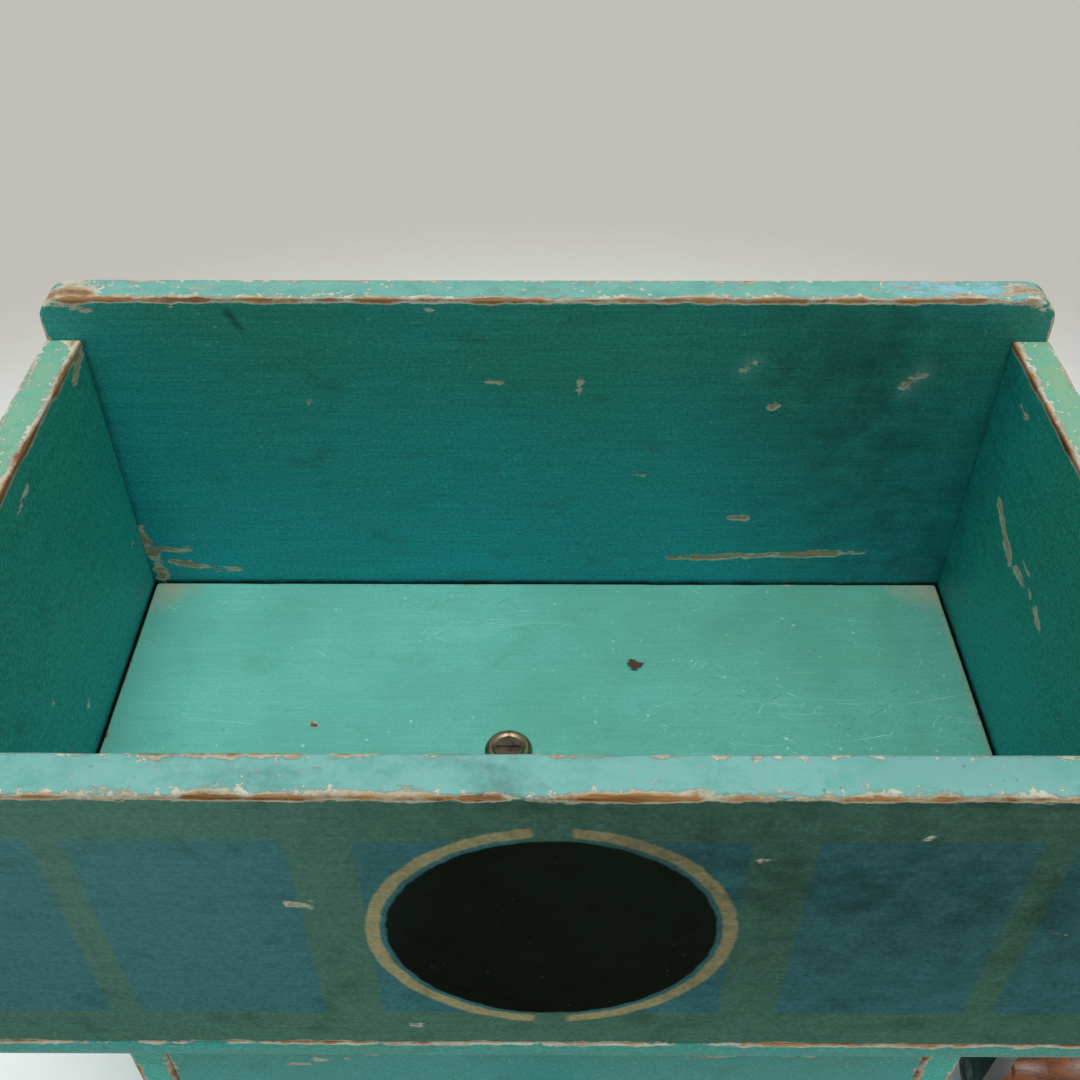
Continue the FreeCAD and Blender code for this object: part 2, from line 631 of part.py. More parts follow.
def make_worm():
    """The feed worm: a left-hand flight that carries beans away from the crank."""
    body = doc.addObject("PartDesign::Body", "feed_worm_blank")
    length = s.throat_width
    core = body.newObject("PartDesign::AdditiveCylinder", "Core")
    bind(core, Radius=s.worm_core, Height=length)
    outside = s.bore_radius - s.worm_gap
    flight = sketch_on(body, "XZ_Plane", "Flight")
    root = s.worm_core - s.worm_flight / 4
    outline(flight, [(root, 0), (root, s.worm_flight),
                     (outside, s.worm_flight * 0.8), (outside, s.worm_flight * 0.2)])
    helix = body.newObject("PartDesign::AdditiveHelix", "Worm")
    helix.Profile = flight
    helix.ReferenceAxis = (flight, ["V_Axis"])
    helix.Mode = "pitch-height-angle"
    helix.LeftHanded = True
    bind(helix, Pitch=s.worm_pitch, Height=length - s.worm_flight)
    place(body, on_axis(-throat_x), TO_RIGHT)
    hole = square_bar("feed_worm_hole", s.square_side + s.square_gap * 2, -throat_x, throat_x)
    return [cut("feed_worm", body, hole)]


def make_shaft():
    """The mill shaft with its washer: journals, squared parts, collar and stud."""
    left = rod("shaft_journal", s.shaft_radius, cone_outlet - journal_end, on_axis(journal_end), TO_RIGHT)
    middle = square_bar("shaft_square", s.square_side, cone_outlet, throat_x)
    right = rod("shaft_bar", s.shaft_radius, collar_face - throat_x, on_axis(throat_x), TO_RIGHT)
    collar = rod("shaft_collar", s.shaft_radius + s.bush_wall, crank_face - collar_face,
                 on_axis(collar_face), TO_RIGHT)
    end = square_bar("shaft_end", s.square_side, crank_face, nut_face)
    stud = rod("shaft_stud", s.stud_radius, s.nut_length, on_axis(nut_face), TO_RIGHT)
    shaft = join("mill_shaft", left, middle, right, collar, end, stud)
    washer = turned("shaft_washer",
                    [(shaft_hole, 0), (s.hub_radius, 0), (s.hub_radius, s.shaft_washer_thick),
                     (shaft_hole, s.shaft_washer_thick)],
                    on_axis(washer_face), TO_RIGHT)
    ball = doc.addObject("Part::Sphere", "thrust_ball")
    bind(ball, Radius=s.ball_radius)
    return [shaft, washer, place(ball, on_axis(ball_middle))]


def make_bearing(side_blank):
    """The side bearing on the right wall, its bush and screws, and the wall itself."""
    bush_radius = shaft_hole + s.bush_wall
    seat = bush_radius + s.seat_gap
    bearing_blank = turned("side_bearing_blank",
                           [(seat, 0), (s.bearing_radius, 0), (s.bearing_radius, s.bearing_flange * 0.7),
                            (s.bearing_radius - s.bearing_flange * 0.4, s.bearing_flange),
                            (s.hub_radius + s.bearing_flange, s.bearing_flange),
                            (s.hub_radius, s.bearing_flange * 2, -s.bearing_flange),
                            (s.hub_radius, s.bearing_length), (seat, s.bearing_length)],
                           on_axis(case_x), TO_RIGHT)
    bush = turned("bearing_bush",
                  [(shaft_hole, 0), (bush_radius, 0), (bush_radius, s.bearing_length),
                   (shaft_hole, s.bearing_length)],
                  on_axis(case_x), TO_RIGHT)
    length = s.bearing_flange + s.case_board * 0.7
    bearing_screws, screw_holes = screws(
        "bearing_screws",
        round_the_axis(case_x + s.bearing_flange - length,
                       (s.bearing_radius + s.hub_radius + s.bearing_flange) / 2),
        TO_RIGHT, length, s.wood_screw * 0.8, s.wood_screw_head * 0.7)
    hole = rod("case_side_right_hole", bush_radius, s.case_board, on_axis(inside_x), TO_RIGHT)
    side = cut("case_side_right", side_blank, hole, screw_holes)
    return [cut("side_bearing", bearing_blank, screw_holes), bush, bearing_screws, side]


def make_adjuster(side_blank):
    """The adjusting screw at the left, its rosette and screws, and the wall it passes through."""
    passage = s.screw_radius * 1.2
    rosette_blank = turned("adjuster_rosette_blank",
                           [(passage, 0), (s.rosette_radius, 0), (s.rosette_radius, s.rosette_thick / 2),
                            (s.rosette_radius * 0.7, s.rosette_thick), (passage, s.rosette_thick)],
                           on_axis(-case_x), TO_LEFT)
    length = s.rosette_thick / 2 + s.case_board * 0.7
    rosette_screws, screw_holes = screws(
        "rosette_screws",
        [(-case_x - s.rosette_thick * 0.75 + length, axis_y, axis_z + way * s.rosette_radius * 0.72)
         for way in (-1, 1)],
        TO_LEFT, length, s.wood_screw * 0.8, s.wood_screw_head * 0.7)
    rosette = cut("adjuster_rosette", rosette_blank, screw_holes)
    hole = rod("case_side_left_hole", passage * 1.2, s.case_board, on_axis(-case_x), TO_RIGHT)
    side = cut("case_side_left", side_blank, hole, screw_holes)

    head_face = case_x + s.rosette_thick + s.thumb_stand + screw_tip
    flare = s.thumb_length * 0.3
    stem = turned("adjusting_screw_blank",
                  [(0, 0), (s.screw_radius * 0.6, 0), (s.screw_radius, s.screw_radius * 0.4),
                   (s.screw_radius, head_face), (s.thumb_radius - flare, head_face),
                   (s.thumb_radius, head_face + flare), (s.thumb_radius, head_face + s.thumb_length - flare),
                   (s.thumb_radius - flare, head_face + s.thumb_length), (0, head_face + s.thumb_length)],
                  on_axis(screw_tip), TO_LEFT)
    flute_radius = s.thumb_radius * 0.14
    flutes = []
    for number in range(int(s.thumb_flutes.value)):
        angle = 2 * math.pi * number / s.thumb_flutes.value
        flutes.append(rod(f"thumb_flute_{number}", flute_radius, s.thumb_length,
                          (screw_tip - head_face - s.thumb_length, axis_y + s.thumb_radius * math.cos(angle),
                           axis_z + s.thumb_radius * math.sin(angle)), TO_RIGHT))
    return [rosette, rosette_screws, side, cut("adjusting_screw", stem, *flutes)]


def make_crank():
    """The crank: arm, cap nut, grip pin with its washer, and the grip."""
    arm_body = doc.addObject("PartDesign::Body", "crank_arm_bar")
    sketch = sketch_on(arm_body, "XY_Plane", "Arm")
    reach, hub, end = crank_reach.value, s.crank_hub.value * 0.8, s.crank_end.value * 0.8
    lean = math.acos((hub - end) / reach)
    up = FreeCAD.Vector(0, 0, 1)
    touch = [(FreeCAD.Vector(hub * math.cos(lean), side * hub * math.sin(lean), 0),
              FreeCAD.Vector(reach + end * math.cos(lean), side * end * math.sin(lean), 0))
             for side in (1, -1)]
    hub_arc = sketch.addGeometry(
        Part.ArcOfCircle(Part.Circle(FreeCAD.Vector(), up, hub), lean, 2 * math.pi - lean), False)
    end_arc = sketch.addGeometry(
        Part.ArcOfCircle(Part.Circle(FreeCAD.Vector(reach, 0, 0), up, end), -lean, lean), False)
    upper = sketch.addGeometry(Part.LineSegment(*touch[0]), False)
    lower = sketch.addGeometry(Part.LineSegment(*touch[1]), False)
    sketch.addConstraint(Sketcher.Constraint("Coincident", hub_arc, 3, -1, 1))
    sketch.addConstraint(Sketcher.Constraint("PointOnObject", end_arc, 3, -1))
    for line, line_end, arc, arc_end in ((upper, 1, hub_arc, 1), (upper, 2, end_arc, 2),
                                         (lower, 1, hub_arc, 2), (lower, 2, end_arc, 1)):
        sketch.addConstraint(Sketcher.Constraint("Tangent", line, line_end, arc, arc_end))
    for rule, size in ((("DistanceX", -1, 1, end_arc, 3), crank_reach),
                       (("Radius", hub_arc), s.crank_hub * 0.8), (("Radius", end_arc), s.crank_end * 0.8)):
        number = sketch.addConstraint(Sketcher.Constraint(*rule, size.value))
        sketch.setExpression(f"Constraints[{number}]", size.text)
    pad = arm_body.newObject("PartDesign::Pad", "Thickness")
    pad.Profile = sketch
    bind(pad, Length=s.crank_thick)
    place(arm_body, on_axis(crank_face), TO_RIGHT)
    round_edges(arm_body, s.worn_edge, "z+")

    grip_z = axis_z - crank_reach
    hub_disc = rod("crank_hub_disc", s.crank_hub, s.crank_hub_thick, on_axis(crank_face), TO_RIGHT)
    end_disc = rod("crank_end_disc", s.crank_end, s.crank_thick, (crank_face, axis_y, grip_z), TO_RIGHT)
    square = square_bar("crank_square", s.square_side + s.square_gap * 2, crank_face, nut_face)
    pin_hole = rod("crank_pin_hole", s.pin_radius + s.seat_gap, s.crank_thick,
                   (crank_face, axis_y, grip_z), TO_RIGHT)
    arm = cut("crank_arm", join("crank_arm_blank", arm_body, hub_disc, end_disc), square, pin_hole)

    hexagon = doc.addObject("Part::Prism", "cap_nut_hexagon")
    hexagon.Polygon = 6
    bind(hexagon, Circumradius=s.nut_flats * 1.155, Height=s.nut_length)
    place(hexagon, on_axis(nut_face), TO_RIGHT)
    dome = turned("cap_nut_dome",
                  [(0, 0), (s.nut_flats, 0),
                   (0, s.nut_flats * 0.7, dome_radius(s.nut_flats, s.nut_flats * 0.7))],
                  on_axis(nut_face + s.nut_length), TO_RIGHT)
    stud_hole = rod("cap_nut_hole", s.stud_radius + s.seat_gap, s.nut_length, on_axis(nut_face), TO_RIGHT)
    nut = cut("crank_nut", join("crank_nut_blank", hexagon, dome), stud_hole)

    washer_thick = s.shaft_washer_thick
    grip_start = pin_face + s.grip_play
    grip_end = grip_start + s.grip_length
    cap = grip_end + s.grip_play - crank_face
    pin_bore = s.pin_radius + s.running_gap
    pin = turned("grip_pin",
                 [(0, 0), (s.pin_radius, 0), (s.pin_radius, cap + washer_thick),
                  (s.pin_head, cap + washer_thick),
                  (0, cap + washer_thick + s.pin_head * 0.6, dome_radius(s.pin_head, s.pin_head * 0.6))],
                 (crank_face, axis_y, grip_z), TO_RIGHT)
    washer = turned("grip_washer",
                    [(s.pin_radius + s.seat_gap, 0), (s.pin_head * 1.3, 0), (s.pin_head * 1.3, washer_thick),
                     (s.pin_radius + s.seat_gap, washer_thick)],
                    (crank_face + cap, axis_y, grip_z), TO_RIGHT)
    length, wide = s.grip_length, s.grip_radius
    grip = turned("crank_grip",
                  [(pin_bore, 0), (wide * 0.6, 0), (wide * 0.6, length * 0.06), (wide * 0.5, length * 0.1),
                   (wide * 0.62, length * 0.3, -length * 0.5), (wide, length * 0.68, length),
                   (wide * 0.85, length * 0.92, length * 0.36), (wide * 0.6, length, length * 0.16),
                   (pin_bore, length)],
                  (grip_start, axis_y, grip_z), TO_RIGHT)
    return [arm, nut, pin, washer, grip]


def make_drawer():
    """The drawer for the grounds: five boards, the knob and its screw."""
    low = s.plinth_thick + s.drawer_gap
    side_x = inside_x - s.drawer_gap
    back_y = inside_y - s.drawer_gap
    front_top = drawer_top - s.drawer_gap
    side_top = drawer_top - s.strip_drop - s.strip_height - s.strip_gap
    knob_z = (low + front_top) / 2
    front_blank = board("drawer_front_blank", (-side_x, -case_y, low), (side_x, -inside_y, front_top),
                        [(s.worn_edge, "y-")])
    left = board("drawer_side_left", (-side_x, -inside_y, low), (s.drawer_wall - side_x, back_y, side_top),
                 [(s.worn_edge / 2, "z+", "y")])
    right = board("drawer_side_right", (side_x - s.drawer_wall, -inside_y, low), (side_x, back_y, side_top),
                  [(s.worn_edge / 2, "z+", "y")])
    clear_x = side_x - s.drawer_wall
    back = board("drawer_back", (-clear_x, back_y - s.drawer_wall, low), (clear_x, back_y, side_top),
                 [(s.worn_edge / 2, "z+", "x")])
    bottom_low = low + s.drawer_bottom_up
    bottom = board("drawer_bottom", (-clear_x, -inside_y, bottom_low),
                   (clear_x, back_y - s.drawer_wall, bottom_low + s.drawer_bottom_thick))
    length, wide = s.knob_length, s.knob_radius
    knob_blank = turned("drawer_knob_blank",
                        [(0, 0), (wide * 0.72, 0), (wide * 0.72, length * 0.1), (wide * 0.5, length * 0.18),
                         (wide * 0.5, length * 0.38, -length * 0.3), (wide, length * 0.62, -length * 0.5),
                         (wide * 0.8, length * 0.9, length * 0.4),
                         (0, length, dome_radius(wide * 0.8, length * 0.1))],
                        (0, -case_y, knob_z), TO_FRONT)
    knob_screw, screw_hole = screws("drawer_knob_screw", [(0, -case_y - length * 0.6, knob_z)], TO_BACK,
                                    length * 0.6 + s.case_board)
    front = cut("drawer_front", front_blank, screw_hole)
    knob = cut("drawer_knob", knob_blank, screw_hole)
    return [front, left, right, back, bottom, knob, knob_screw]


def check_document(nodes):
    """Stop if any object failed or a node is not made of valid closed solids."""
    for item in doc.Objects:
        if {"Invalid", "Error"} & set(item.State):
            raise RuntimeError(f"{item.Label} failed: {item.State}")
    for node in nodes:
        shape = node.Shape
        if shape.isNull() or not shape.isValid() or not shape.Solids:
            raise RuntimeError(f"{node.Label} is not a valid solid")


def main():
    """Build every piece, check them and write one file for each."""
    tray, deck_tools = make_tray()
    grinder, bolt_holes = make_grinder()
    case, left_blank, right_blank = make_case((*deck_tools, bolt_holes))
    nodes = [*tray, *grinder, *case, *make_burrs(), *make_worm(), *make_shaft(), *make_bearing(right_blank),
             *make_adjuster(left_blank), *make_crank(), *make_drawer()]
    doc.recompute()
    check_document(nodes)
    os.makedirs("parts", exist_ok=True)
    for node in nodes:
        node.Shape.exportStep(f"parts/{node.Label}.step")
        print(f"{node.Label}: {len(node.Shape.Solids)} solid(s), {node.Shape.Volume:.1f} mm3")


main()
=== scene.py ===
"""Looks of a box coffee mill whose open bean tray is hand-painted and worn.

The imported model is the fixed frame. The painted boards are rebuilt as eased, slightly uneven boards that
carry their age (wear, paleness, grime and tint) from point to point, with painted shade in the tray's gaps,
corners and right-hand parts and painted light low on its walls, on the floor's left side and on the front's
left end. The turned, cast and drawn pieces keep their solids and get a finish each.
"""

import logging
import math
from abc import ABC, abstractmethod
from collections.abc import Sequence
from dataclasses import dataclass
from enum import Enum

import bpy
import numpy as np
from mathutils import Matrix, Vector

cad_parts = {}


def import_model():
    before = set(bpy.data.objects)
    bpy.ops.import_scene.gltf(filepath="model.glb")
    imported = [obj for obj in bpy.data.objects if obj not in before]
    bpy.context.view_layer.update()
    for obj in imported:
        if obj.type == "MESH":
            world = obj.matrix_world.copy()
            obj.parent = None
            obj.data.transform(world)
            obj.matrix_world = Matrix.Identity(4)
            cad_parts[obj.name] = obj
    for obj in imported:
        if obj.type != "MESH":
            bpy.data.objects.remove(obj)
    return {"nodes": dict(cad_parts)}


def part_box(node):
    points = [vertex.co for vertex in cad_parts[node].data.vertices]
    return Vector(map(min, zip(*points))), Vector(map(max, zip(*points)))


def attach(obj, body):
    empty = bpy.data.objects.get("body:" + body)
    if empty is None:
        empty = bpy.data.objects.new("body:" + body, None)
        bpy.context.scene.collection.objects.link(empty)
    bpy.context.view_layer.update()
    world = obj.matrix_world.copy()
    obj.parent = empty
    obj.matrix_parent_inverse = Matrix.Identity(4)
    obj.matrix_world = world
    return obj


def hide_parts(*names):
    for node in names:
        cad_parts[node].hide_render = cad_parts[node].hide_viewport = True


Array = np.ndarray
Span = tuple[float, float]
Point = tuple[float, float, float]
Opening = tuple[float, float, float, float]
Piece = bpy.types.Object
Socket = bpy.types.NodeSocket
Tree = bpy.types.NodeTree
Value = Socket | float | str | tuple

MM = 0.001
PER_METRE = 1000
TINY = 1e-6
LOG = logging.getLogger("box_mill")

# The opening for the iron throat in the floor and the deck, in mm: from and to on X, from and to on Y.
THROAT_SEAT: Opening = (-26.0, 26.0, -40.0, -10.0)

# Where most of a noise lies, and options that many nodes share.
NOISE_RANGE: Span = (0.3, 0.7)
COLOURS = {"data_type": "RGBA"}
SHADES = {"data_type": "RGBA", "blend_type": "MULTIPLY"}
SCALE_ADD = {"operation": "MULTIPLY_ADD"}


def linear(code: str) -> tuple[float, float, float, float]:
    """Turn an sRGB hex colour into the linear colour that Blender mixes.

    Args:
        code: six hex digits after a hash sign.

    Returns:
        Red, green, blue and an alpha of 1.
    """
    parts = [int(code[i:i + 2], 16) / 255 for i in (1, 3, 5)]
    return (*(c / 12.92 if c <= 0.04045 else ((c + 0.055) / 1.055) ** 2.4 for c in parts), 1.0)


def add_node(tree: Tree, kind: str, settings: dict | None = None, *values: Value,
             **named: Value) -> Socket | None:
    """Add a shader node, set its options and fill its inputs.

    A value is another node's output, a plain value or a hex colour. In order, a Mix takes its factor and the
    two things it mixes, a MapRange its value, the two ends to map from and the two to map to, and a TexNoise
    its vector, scale, detail and roughness.

    Args:
        tree: the node tree to add to.
        kind: the node's type, without the word ShaderNode.
        settings: the node's own options, by name.
        values: what goes into the inputs that these options leave in use, in order.
        named: what goes into other inputs, by name.

    Returns:
        The node's first output that is in use, if it has any.
    """
    node = tree.nodes.new("ShaderNode" + kind)
    for name, value in (settings or {}).items():
        setattr(node, name, value)
    inputs = list(zip([socket for socket in node.inputs if socket.enabled], values))
    inputs += [(node.inputs[name], value) for name, value in named.items()]
    for socket, value in inputs:
        if isinstance(value, bpy.types.NodeSocket):
            tree.links.new(value, socket)
        else:
            socket.default_value = linear(value) if isinstance(value, str) else value
    return next((socket for socket in node.outputs if socket.enabled), None)


class Grain(Enum):
    """The axis that a piece's grain and brush marks follow."""

    X = 0
    Y = 1

    def scale(self, along: float, across: float) -> Point:
        """Give a pattern's scale along each axis.

        Args:
            along: length of one mark along the grain, in mm.
            across: distance between marks across the grain, in mm.

        Returns:
            Repeats per metre on X, Y and Z.
        """
        return tuple(PER_METRE / (along if axis == self.value else across) for axis in range(3))


class Finish(ABC):
    """A surface finish that makes one material."""

    name: str

    def material(self) -> bpy.types.Material:
        """Make the finish's material, the first time that it is asked for.

        Returns:
            The material, the same one each time.
        """
        known = bpy.data.materials.get(self.name)
        if known:
            return known
        made = bpy.data.materials.new(self.name)
        made.use_nodes = True
        tree = made.node_tree
        tree.nodes.clear()
        place = add_node(tree, "TexCoord").node.outputs["Object"]
        add_node(tree, "OutputMaterial", {}, add_node(tree, "BsdfPrincipled", **self.mix(tree, place)))
        return made

    @abstractmethod
    def mix(self, tree: Tree, place: Socket) -> dict[str, Value]:
        """Work out what the surface shows.

        Args:
            tree: the material's node tree.
            place: the Object coordinates, in metres.

        Returns:
            What goes into the Principled shader.
        """

    def dress(self, piece: Piece) -> None:
        """Put the finish on every material slot of a piece.

        Args:
            piece: the object to dress.
        """
        if not piece.material_slots:
            piece.data.materials.append(self.material())
        for slot in piece.material_slots:
            slot.material = self.material()


@dataclass(frozen=True)
class Stencil:
    """The stencilled pattern of the tray's front: a roundel over a row of panels. Sizes in mm."""

    centre: Span = (1.0, 156.0)
    disc_radius: float = 27.5
    ring_radius: float = 29.7
    ring_width: float = 2.4
    bridge: float = 6.3
    panels: tuple[Span, ...] = ((0.0, 30.4), (40.8, 74.6), (80.0, 104.0))
    panel_heights: Span = (128.6, 183.4)
    face: float = -63.5
    blur: float = 0.5
    wander: float = 1.1
    wander_size: float = 4.0
    panel_colour: str = "#3D6C6E"
    disc_colour: str = "#14140F"
    ring_colour: str = "#98936D"
    inner_colour: str = "#2C8E7A"

    def paint(self, tree: Tree, place: Socket, ground: Socket) -> Socket:
        """Lay the pattern over the ground colour.

        Each shape is a distance that is compared with a size: from the roundel's centre for disc and ring,
        from a panel's middle line for the panels. A wandering offset roughens the edges, as a stencil brush
        does.

        Args:
            tree: the material's node tree.
            place: the Object coordinates, in metres.
            ground: the colour under the pattern.

        Returns:
            The colour with the pattern on it.
        """
        wander = add_node(tree, "TexNoise", {}, place, PER_METRE / self.wander_size, 3.0)
        aside = wander.node.outputs["Color"]
        offset = add_node(tree, "VectorMath", SCALE_ADD, aside, (self.wander * MM,) * 3, place)
        middle = [-value - self.wander / 2 for value in self.centre]
        flat = add_node(tree, "VectorMath", SCALE_ADD, offset, (PER_METRE, 0, PER_METRE),
                        (middle[0], 0, middle[1]))
        length = add_node(tree, "VectorMath", {"operation": "LENGTH"}, flat)
        across, _, up = add_node(tree, "SeparateXYZ", {}, flat).node.outputs
        depth = add_node(tree, "SeparateXYZ", {}, place).node.outputs["Y"]
        outside = add_node(tree, "Math", {"operation": "LESS_THAN"}, depth, self.face * MM)
        sideways = add_node(tree, "Math", {"operation": "ABSOLUTE"}, across)

        low, high = (height - self.centre[1] for height in self.panel_heights)
        rows = self.band(tree, up, (low + high) / 2, (high - low) / 2, outside)
        broken = add_node(tree, "MapRange", {}, sideways, self.bridge / 2 - self.blur,
                          self.bridge / 2 + self.blur, 0.0, outside)
        layers = [(self.band(tree, sideways, (near + far) / 2, (far - near) / 2, rows), self.panel_colour)
                  for near, far in self.panels]
        layers.append((self.band(tree, length, 0.0, self.disc_radius, outside), self.disc_colour))
        ring = self.band(tree, length, self.ring_radius, self.ring_width / 2, broken)
        layers.append((ring, self.ring_colour))
        colour = add_node(tree, "Mix", COLOURS, outside, self.inner_colour, ground)
        for mask, paint in layers:
            colour = add_node(tree, "Mix", COLOURS, mask, colour, paint)
        return colour

    def band(self, tree: Tree, value: Socket, middle: float, half: float, most: Socket) -> Socket:
        """Mark where a value lies within half of a middle value, with soft edges.

        Args:
            tree: the material's node tree.
            value: the value to test, in mm.
            middle: the middle of the band.
            half: half the band's width.
            most: what the mark is worth inside the band.

        Returns:
            The mark, 0 outside the band.
        """
        away = add_node(tree, "Math", {"operation": "SUBTRACT"}, value, middle)
        far = add_node(tree, "Math", {"operation": "ABSOLUTE"}, away)
        return add_node(tree, "MapRange", {}, far, half + self.blur / 2, half - self.blur / 2, 0.0, most)


@dataclass(frozen=True)
class OilPaint(Finish):
    """Brushed oil paint over chalk primer on softwood, decades old.

    The eye sees a dull satin skin with fine brush marks along the grain, clouds where the pigment has aged,
    dust specks and smudges, a paler chalky coat with primer flecks on top edges, tan wood where the paint has
    chipped and orange-brown wood where hands have rubbed it. The board's "age" colour holds wear, paleness
    (on the front's left end painted light), grime together with painted shade, and, as alpha, tint (how far
    the coat turns cool, which low on the tray's walls and over the floor's left side is painted light);
    "handled" is 1 where the wood is rubbed brown. The three pairs that end in "at" say at how much wear a
    layer starts to show and covers all.
    """

    name: str
    coat: str = "#298573"
    # The cooler colour is lighter as well; low on the tray's walls and over the floor's left side it is
    # painted light.
    cooler: str = "#1A949A"
    pale: str = "#6FAA9D"
    sky: str = "#86BBC9"
    primer: str = "#C3C7B5"
    chipped: str = "#AEB5A1"
    tan: str = "#959072"
    brown: str = "#9A7246"
    dark_wood: str = "#4E3218"
    # The grime colour is also the colour of painted shade.
    grime_and_shade: str = "#0F2E28"
    speck_colour: str = "#86C6BC"
    smudge_colour: str = "#2B4A33"
    speck_chance: float = 0.65
    speck_cell: float = 2.4
    speck_radius: float = 0.23
    grain: Grain = Grain.X
    brush_depth: float = 0.15
    grit_depth: float = 0.18
    sweeps: tuple[Span, ...] = ()
    scores: tuple[Span, ...] = ()
    scratch_width: float = 0.4
    gloss: float = 0.35
    ior: float = 1.48
    satin: Span = (0.46, 0.62)
    chalk_roughness: float = 0.82
    primed_at: Span = (0.92, 1.0)
    chipped_at: Span = (1.42, 1.52)
    rubbed_at: Span = (1.28, 1.72)
    stencil: Stencil | None = None

    def mix(self, tree: Tree, place: Socket) -> dict[str, Value]:
        """Layer wood, primer and paint by how worn each point is.

        Args:
            tree: the material's node tree.
            place: the Object coordinates, in metres.

        Returns:
            What goes into the Principled shader.
        """
        noise = self.patterns(tree, place)
        age = add_node(tree, "Attribute", {"attribute_name": "age"})
        wear, paleness, grime_and_shade = add_node(tree, "SeparateColor", {}, age).node.outputs
        coat = self.coats(tree, place, noise, paleness, age.node.outputs["Alpha"])
        coat = self.soil(tree, place, coat, noise, grime_and_shade)

        # Chips are a few millimetres across, ragged and drawn out along the grain; on pale edges primer
        # shows in flecks.
        worn = add_node(tree, "Math", SCALE_ADD, noise["ragged"], 1.5, -0.25)
        worn = add_node(tree, "Math", {"operation": "ADD"}, worn, wear)
        near = add_node(tree, "Math", SCALE_ADD, wear, 0.4, noise["flake"])
        fleck = add_node(tree, "MapRange", {}, near, 0.7, 0.75, 0.0, paleness)
        primed = add_node(tree, "MapRange", {}, worn, *self.primed_at)
        primed = add_node(tree, "Math", {"operation": "MAXIMUM"}, primed, fleck)
        rubbed = add_node(tree, "Math", SCALE_ADD, noise["blotch"], 0.8, worn)
        handled = add_node(tree, "Attribute", {"attribute_name": "handled"}).node.outputs["Fac"]
        # A chip is ringed by primer; a rubbed edge runs softly from primer to wood.
        bare_at = [add_node(tree, "Math", SCALE_ADD, handled, hand - chip, chip)
                   for chip, hand in zip(self.chipped_at, self.rubbed_at)]
        bare = add_node(tree, "MapRange", {}, rubbed, *bare_at)
        chalk = add_node(tree, "Mix", COLOURS, handled, self.chipped, self.primer)
        under = add_node(tree, "Mix", COLOURS, bare, chalk, self.wood(tree, noise, handled))
        colour = add_node(tree, "Mix", COLOURS, primed, coat, under)

        sheen = add_node(tree, "MapRange", {}, noise["brush"], *NOISE_RANGE, *self.satin)
        rough = add_node(tree, "Mix", {"data_type": "FLOAT"}, primed, sheen, self.chalk_roughness)
        # Heights in mm: the paint skin is about a fifth of a millimetre thick, brush marks a quarter of that.
        skin = 0.2
        for layer, height in ((primed, -0.13), (bare, -0.08), (noise["brush"], 0.05), (noise["grit"], 0.02)):
            skin = add_node(tree, "Math", SCALE_ADD, layer, height, skin)
        bump = add_node(tree, "Bump", Strength=0.8, Distance=MM, Height=skin)
        return {"Base Color": colour, "Roughness": rough, "Normal": bump, "IOR": self.ior,
                "Specular IOR Level": self.gloss}

    def patterns(self, tree: Tree, place: Socket) -> dict[str, Socket]:
        """Make the paint's noise patterns, each sized along and across the grain.

        Args:
            tree: the material's node tree.
            place: the Object coordinates, in metres.

        Returns:
            One value about 0.5 for each pattern's name.
        """
        # Length and width of a mark in mm, detail, roughness. Dust grit is finer, and drawn at 0.7 mm so
        # that it shows.
        sizes = {
            "brush": (18, 0.6, 3.0, 0.65),
            "cloud": (48, 48, 4.0, 0.6),
            "blotch": (6, 6, 5.0, 0.7),
            "smudge": (15, 11, 5.0, 0.65),
            "grit": (0.7, 0.7, 2.0, 0.6),
            "flake": (1.9, 1.6, 4.0, 0.7),
            "ragged": (8, 2.8, 7.0, 0.72),
            "fibre": (14, 0.7, 3.0, 0.6),
        }
        made = {}
        for name, (along, across, detail, rough) in sizes.items():
            spread = add_node(tree, "Mapping", {}, place, Scale=self.grain.scale(along, across))
            made[name] = add_node(tree, "TexNoise", {}, spread, 1.0, detail, rough)
        return made

    def coats(self, tree: Tree, place: Socket, noise: dict[str, Socket], paleness: Socket,
              tint_and_light: Socket) -> Socket:
        """Colour the sound paint: the brushed coat, its pattern if any, and the chalky coat on top edges.

        Args:
            tree: the material's node tree.
            place: the Object coordinates, in metres.
            noise: the paint's patterns.
            paleness: how chalky each point is.
            tint_and_light: how far the coat turns cool; low on the tray's walls and over the floor's left
                side this is painted light.

        Returns:
            The paint's colour.
        """
        # The coat drifts towards its cooler colour by the tint channel, which also paints light: bluer and
        # lighter low on the tray's walls and over the floor's left side.
        drift = add_node(tree, "MapRange", {}, noise["cloud"], *NOISE_RANGE, -0.25, 0.25)
        turned = add_node(tree, "Math", {"operation": "ADD", "use_clamp": True}, drift, tint_and_light)
        coat = add_node(tree, "Mix", COLOURS, turned, self.coat, self.cooler)
        if self.stencil:
            coat = self.stencil.paint(tree, place, coat)
        for name, depth in (("brush", self.brush_depth), ("grit", self.grit_depth)):
            shade = add_node(tree, "MapRange", {}, noise[name], *NOISE_RANGE, 1 - depth, 1 + depth)
            coat = add_node(tree, "Mix", SHADES, 1.0, coat, shade)
        mottle = add_node(tree, "MapRange", {}, noise["blotch"], 0.42, 0.56, 0.0, tint_and_light)
        chalk = add_node(tree, "Mix", COLOURS, mottle, self.pale, self.sky)
        thin = add_node(tree, "MapRange", {}, noise["blotch"], 0.3, 0.55, 0.6)
        thin = add_node(tree, "Math", {"operation": "MULTIPLY"}, thin, paleness)
        return add_node(tree, "Mix", COLOURS, thin, coat, chalk)

